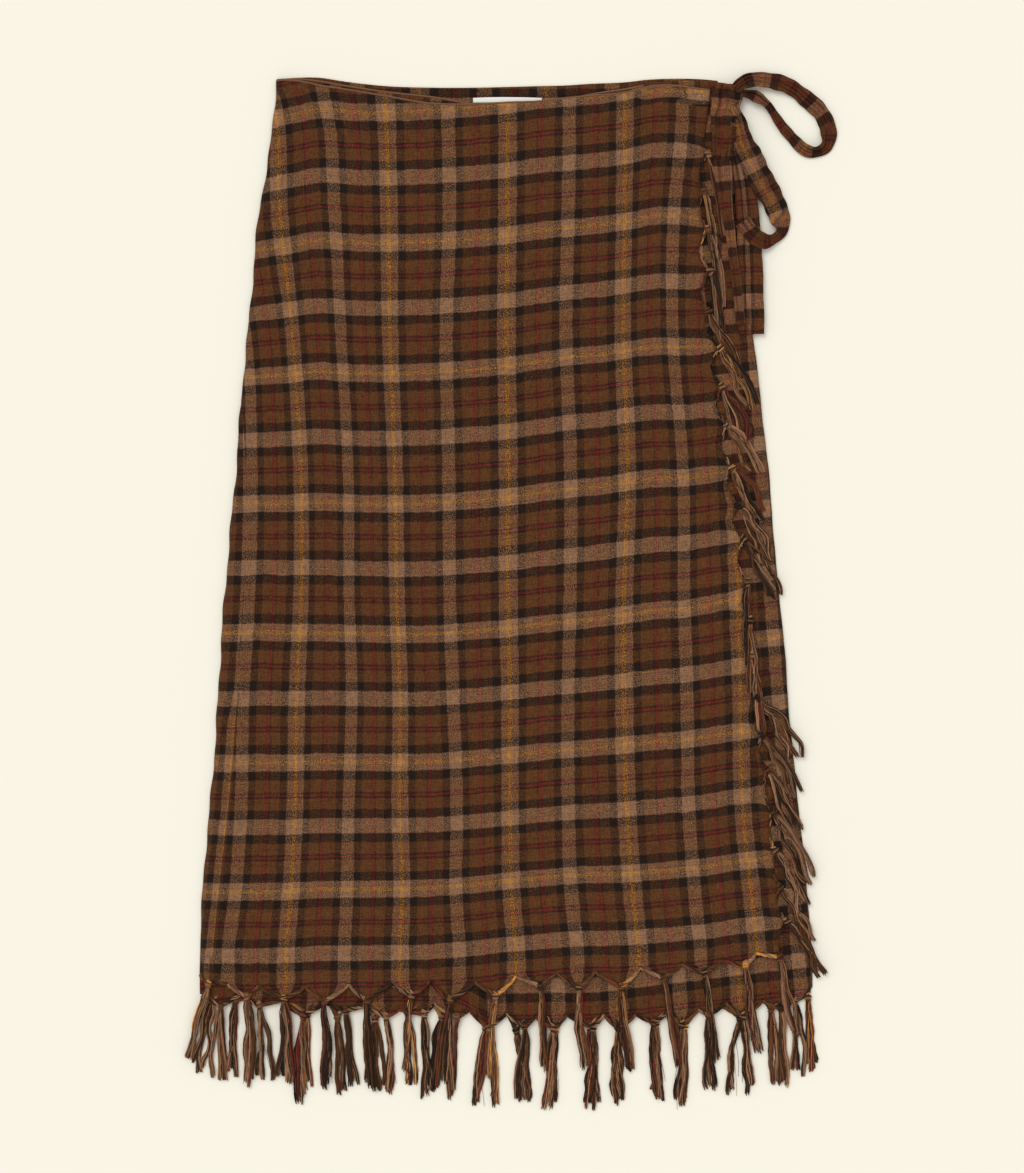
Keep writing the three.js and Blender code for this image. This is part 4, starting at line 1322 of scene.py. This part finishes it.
def strap_length(name, rows, thick, lie, seed):
    """One length of strap: a flat tube with soft edges, dents and creases along its line."""
    numbered = [dict(row, at=i) for i, row in enumerate(rows)]
    fine = np.linspace(0, len(rows) - 1, (len(rows) - 1) * 10 + 1)
    line = np.stack([smooth(numbered, key, fine, "at") for key in ("x", "y", "z")], -1)
    wide = smooth(numbered, "wide", fine, "at")[:, None]
    roll = np.radians(smooth(numbered, "roll", fine, "at"))[:, None]
    way = np.gradient(line[:, :2], axis=0)
    way /= np.linalg.norm(way, axis=1, keepdims=True)
    gone = np.concatenate([[0], np.cumsum(np.linalg.norm(np.diff(line, axis=0), axis=1))])
    far, whole = gone[:, None], gone[-1]
    phases = np.random.default_rng(seed).uniform(0, math.tau, 6)
    # Places round the tube: across its upper face from side to side, and back across its lower one.
    face = np.sin(np.linspace(1, -1, 45) * math.pi / 2)
    off = np.concatenate([face, np.linspace(-0.97, 0.97, 13)])
    around = len(off)
    up = (1 - np.abs(off) ** 3.6) ** 0.4 * np.where(np.arange(around) < len(face), 1, -1)
    dent = 0
    for high, across, along, phase in STRAP_WAVES:
        dent = dent + high * np.sin(off * across + far * along + phases[phase])
    mottle_and_painted_shade = crease_depths_and_shade(name, off, far, whole, lie["creases"], phases)
    dent = np.where(up > 0, (dent - 1.3 * mottle_and_painted_shade) * (1 - off * off), 0)
    # Painted shade: how much darker its colour is in the creases and gathers, towards the edges of
    # its upper face, and all over its underside.
    mottle_and_painted_shade = np.where(up > 0, np.clip(mottle_and_painted_shade + 0.22 * np.abs(off) ** 6, 0, 1), 0.22)
    ends = np.minimum(np.arange(len(fine)), np.arange(len(fine))[::-1])
    cap = np.minimum(1, 0.35 + 0.325 * ends)[:, None]
    high = thick * 0.5 * (up * cap + dent)
    rough = 0.3 if lie["middle"] is None else 1.0
    uneven = 0.04 * np.sin(far * 0.22 + phases[2]) + 0.035 * np.sin(far * 0.51 + phases[5])
    across = wide * 0.5 * off * (1 + rough * uneven)
    lifted = across * np.sin(roll)
    flat = across * np.cos(roll) - high * np.sin(roll)
    flat = flat + 0.4 * rough * np.sin(far * 0.17 + phases[4])
    points = np.stack([
        line[:, :1] + way[:, 1:] * flat,
        line[:, 1:2] - way[:, :1] * flat,
        line[:, 2:] + thick * 0.5 + lifted + high * np.cos(roll) + np.abs(lifted) * 0.6,
    ], -1)
    if lie["middle"] is None:
        u = np.broadcast_to(np.interp(off, *zip(*lie["across"])), across.shape)
    else:
        slipped = lie["slip"] * ramp(far / whole, 0.62, 0.68)
        u = lie["middle"] + slipped - 1.3 * across / HALF_REPEAT[0]
    v = lie["band"] + (far - np.interp(lie["row"], fine, gone)) / lie["pitch"]
    checks = np.stack([u, np.broadcast_to(v, u.shape)], -1).reshape(-1, 2)
    at = np.arange(len(fine) * around).reshape(-1, around)
    after = np.roll(at, -1, axis=1)
    faces = np.stack([at[:-1], after[:-1], after[1:], at[1:]], -1).reshape(-1, 4).tolist()
    faces += [at[0, ::-1].tolist(), at[-1].tolist()]
    piece = woven(name, points.reshape(-1, 3), faces, checks)
    # The painted shade goes with the mesh, for its material to darken by.
    store(piece.data, "crease", "FLOAT", "value", mottle_and_painted_shade)
    return piece, whole


class SKIRT_OT_bow(bpy.types.Operator):
    """Make the strap tied in a bow: its knot, two loops and two ends"""

    bl_idname = "skirt.bow"
    bl_label = "Bow"

    def execute(self, context):
        dyes, strap = context.scene.skirt_dyes, context.scene.skirt_strap
        for key, rows in STRAPS.items():
            lie = STRAP_CLOTH[key]
            thick = (strap.knot_thick if key == "knot" else strap.thick) / MM
            piece, long = strap_length("strap_" + key, rows, thick, lie, len(key))
            settle(piece, strap_cloth(dyes), lie["node"], slot="strap_cloth")
        return {"FINISHED"}


class SKIRT_OT_stage(bpy.types.Operator):
    """Set the pale floor, the soft lights and the camera straight above"""

    bl_idname = "skirt.stage"
    bl_label = "Stage"

    def execute(self, context):
        scene, stage = context.scene, context.scene.skirt_stage
        scene.view_settings.view_transform = "Standard"
        bpy.ops.mesh.primitive_plane_add(size=8, location=(0, 0, -0.3 * MM))
        floor = context.active_object
        floor.name = "floor"
        paper = bpy.data.materials.new("Pale floor")
        paper.use_nodes = True
        shader = paper.node_tree.nodes["Principled BSDF"]
        shader.inputs["Base Color"].default_value = (*stage.floor, 1)
        shader.inputs["Roughness"].default_value = 0.9
        shader.inputs["Specular IOR Level"].default_value = 0.1
        floor.data.materials.append(paper)
        world = bpy.data.worlds.new("Even light")
        world.use_nodes = True
        background = world.node_tree.nodes["Background"].inputs
        background["Color"].default_value = (*LIGHT_TINT, 1)
        background["Strength"].default_value = stage.fill
        scene.world = world
        light = bpy.data.lights.new("Soft light", "SUN")
        light.energy, light.angle, light.color = stage.key, math.radians(35), LIGHT_TINT
        lamp = placed("Soft light", light)
        lamp.location = (-1.0, 1.25, 2.5)
        lamp.rotation_euler = lamp.location.to_track_quat("Z", "Y").to_euler()
        camera = bpy.data.cameras.new("Above")
        camera.lens = stage.lens
        eye = placed("Above", camera)
        middle = (np.array(VIEW_MIDDLE) + shift()) * MM
        distance = stage.view_height / (camera.sensor_width / camera.lens)
        eye.location = (middle[0], middle[1], distance + CLOTH_TOP * MM)
        scene.camera = eye
        return {"FINISHED"}


class SKIRT_PT_panel(bpy.types.Panel):
    """Lists the steps that dress the skirt"""

    bl_idname = "SKIRT_PT_panel"
    bl_label = "Fringed wrap skirt"
    bl_space_type = "VIEW_3D"
    bl_region_type = "UI"
    bl_category = "Skirt"

    def draw(self, context):
        for operator in STEPS:
            self.layout.operator(operator.bl_idname)


STEPS = (
    SKIRT_OT_stage,
    SKIRT_OT_back,
    SKIRT_OT_under_front,
    SKIRT_OT_over_front,
    SKIRT_OT_hem_fringes,
    SKIRT_OT_edge_fringe,
    SKIRT_OT_label,
    SKIRT_OT_bow,
)
SETTINGS = {
    "skirt_dyes": SkirtDyes,
    "skirt_cloth": SkirtCloth,
    "skirt_fringe": SkirtFringe,
    "skirt_strap": SkirtStrap,
    "skirt_stage": SkirtStage,
}


def register():
    for name, settings in SETTINGS.items():
        bpy.utils.register_class(settings)
        setattr(bpy.types.Scene, name, bpy.props.PointerProperty(type=settings))
    for step in (*STEPS, SKIRT_PT_panel):
        bpy.utils.register_class(step)


def unregister():
    for step in reversed((*STEPS, SKIRT_PT_panel)):
        bpy.utils.unregister_class(step)
    for name, settings in reversed(SETTINGS.items()):
        delattr(bpy.types.Scene, name)
        bpy.utils.unregister_class(settings)


def main():
    register()
    bpy.ops.skirt.stage()
    bpy.ops.skirt.back()
    bpy.ops.skirt.under_front()
    bpy.ops.skirt.over_front()
    bpy.ops.skirt.hem_fringes()
    bpy.ops.skirt.edge_fringe()
    bpy.ops.skirt.label()
    bpy.ops.skirt.bow()


if __name__ == "__main__":
    main()
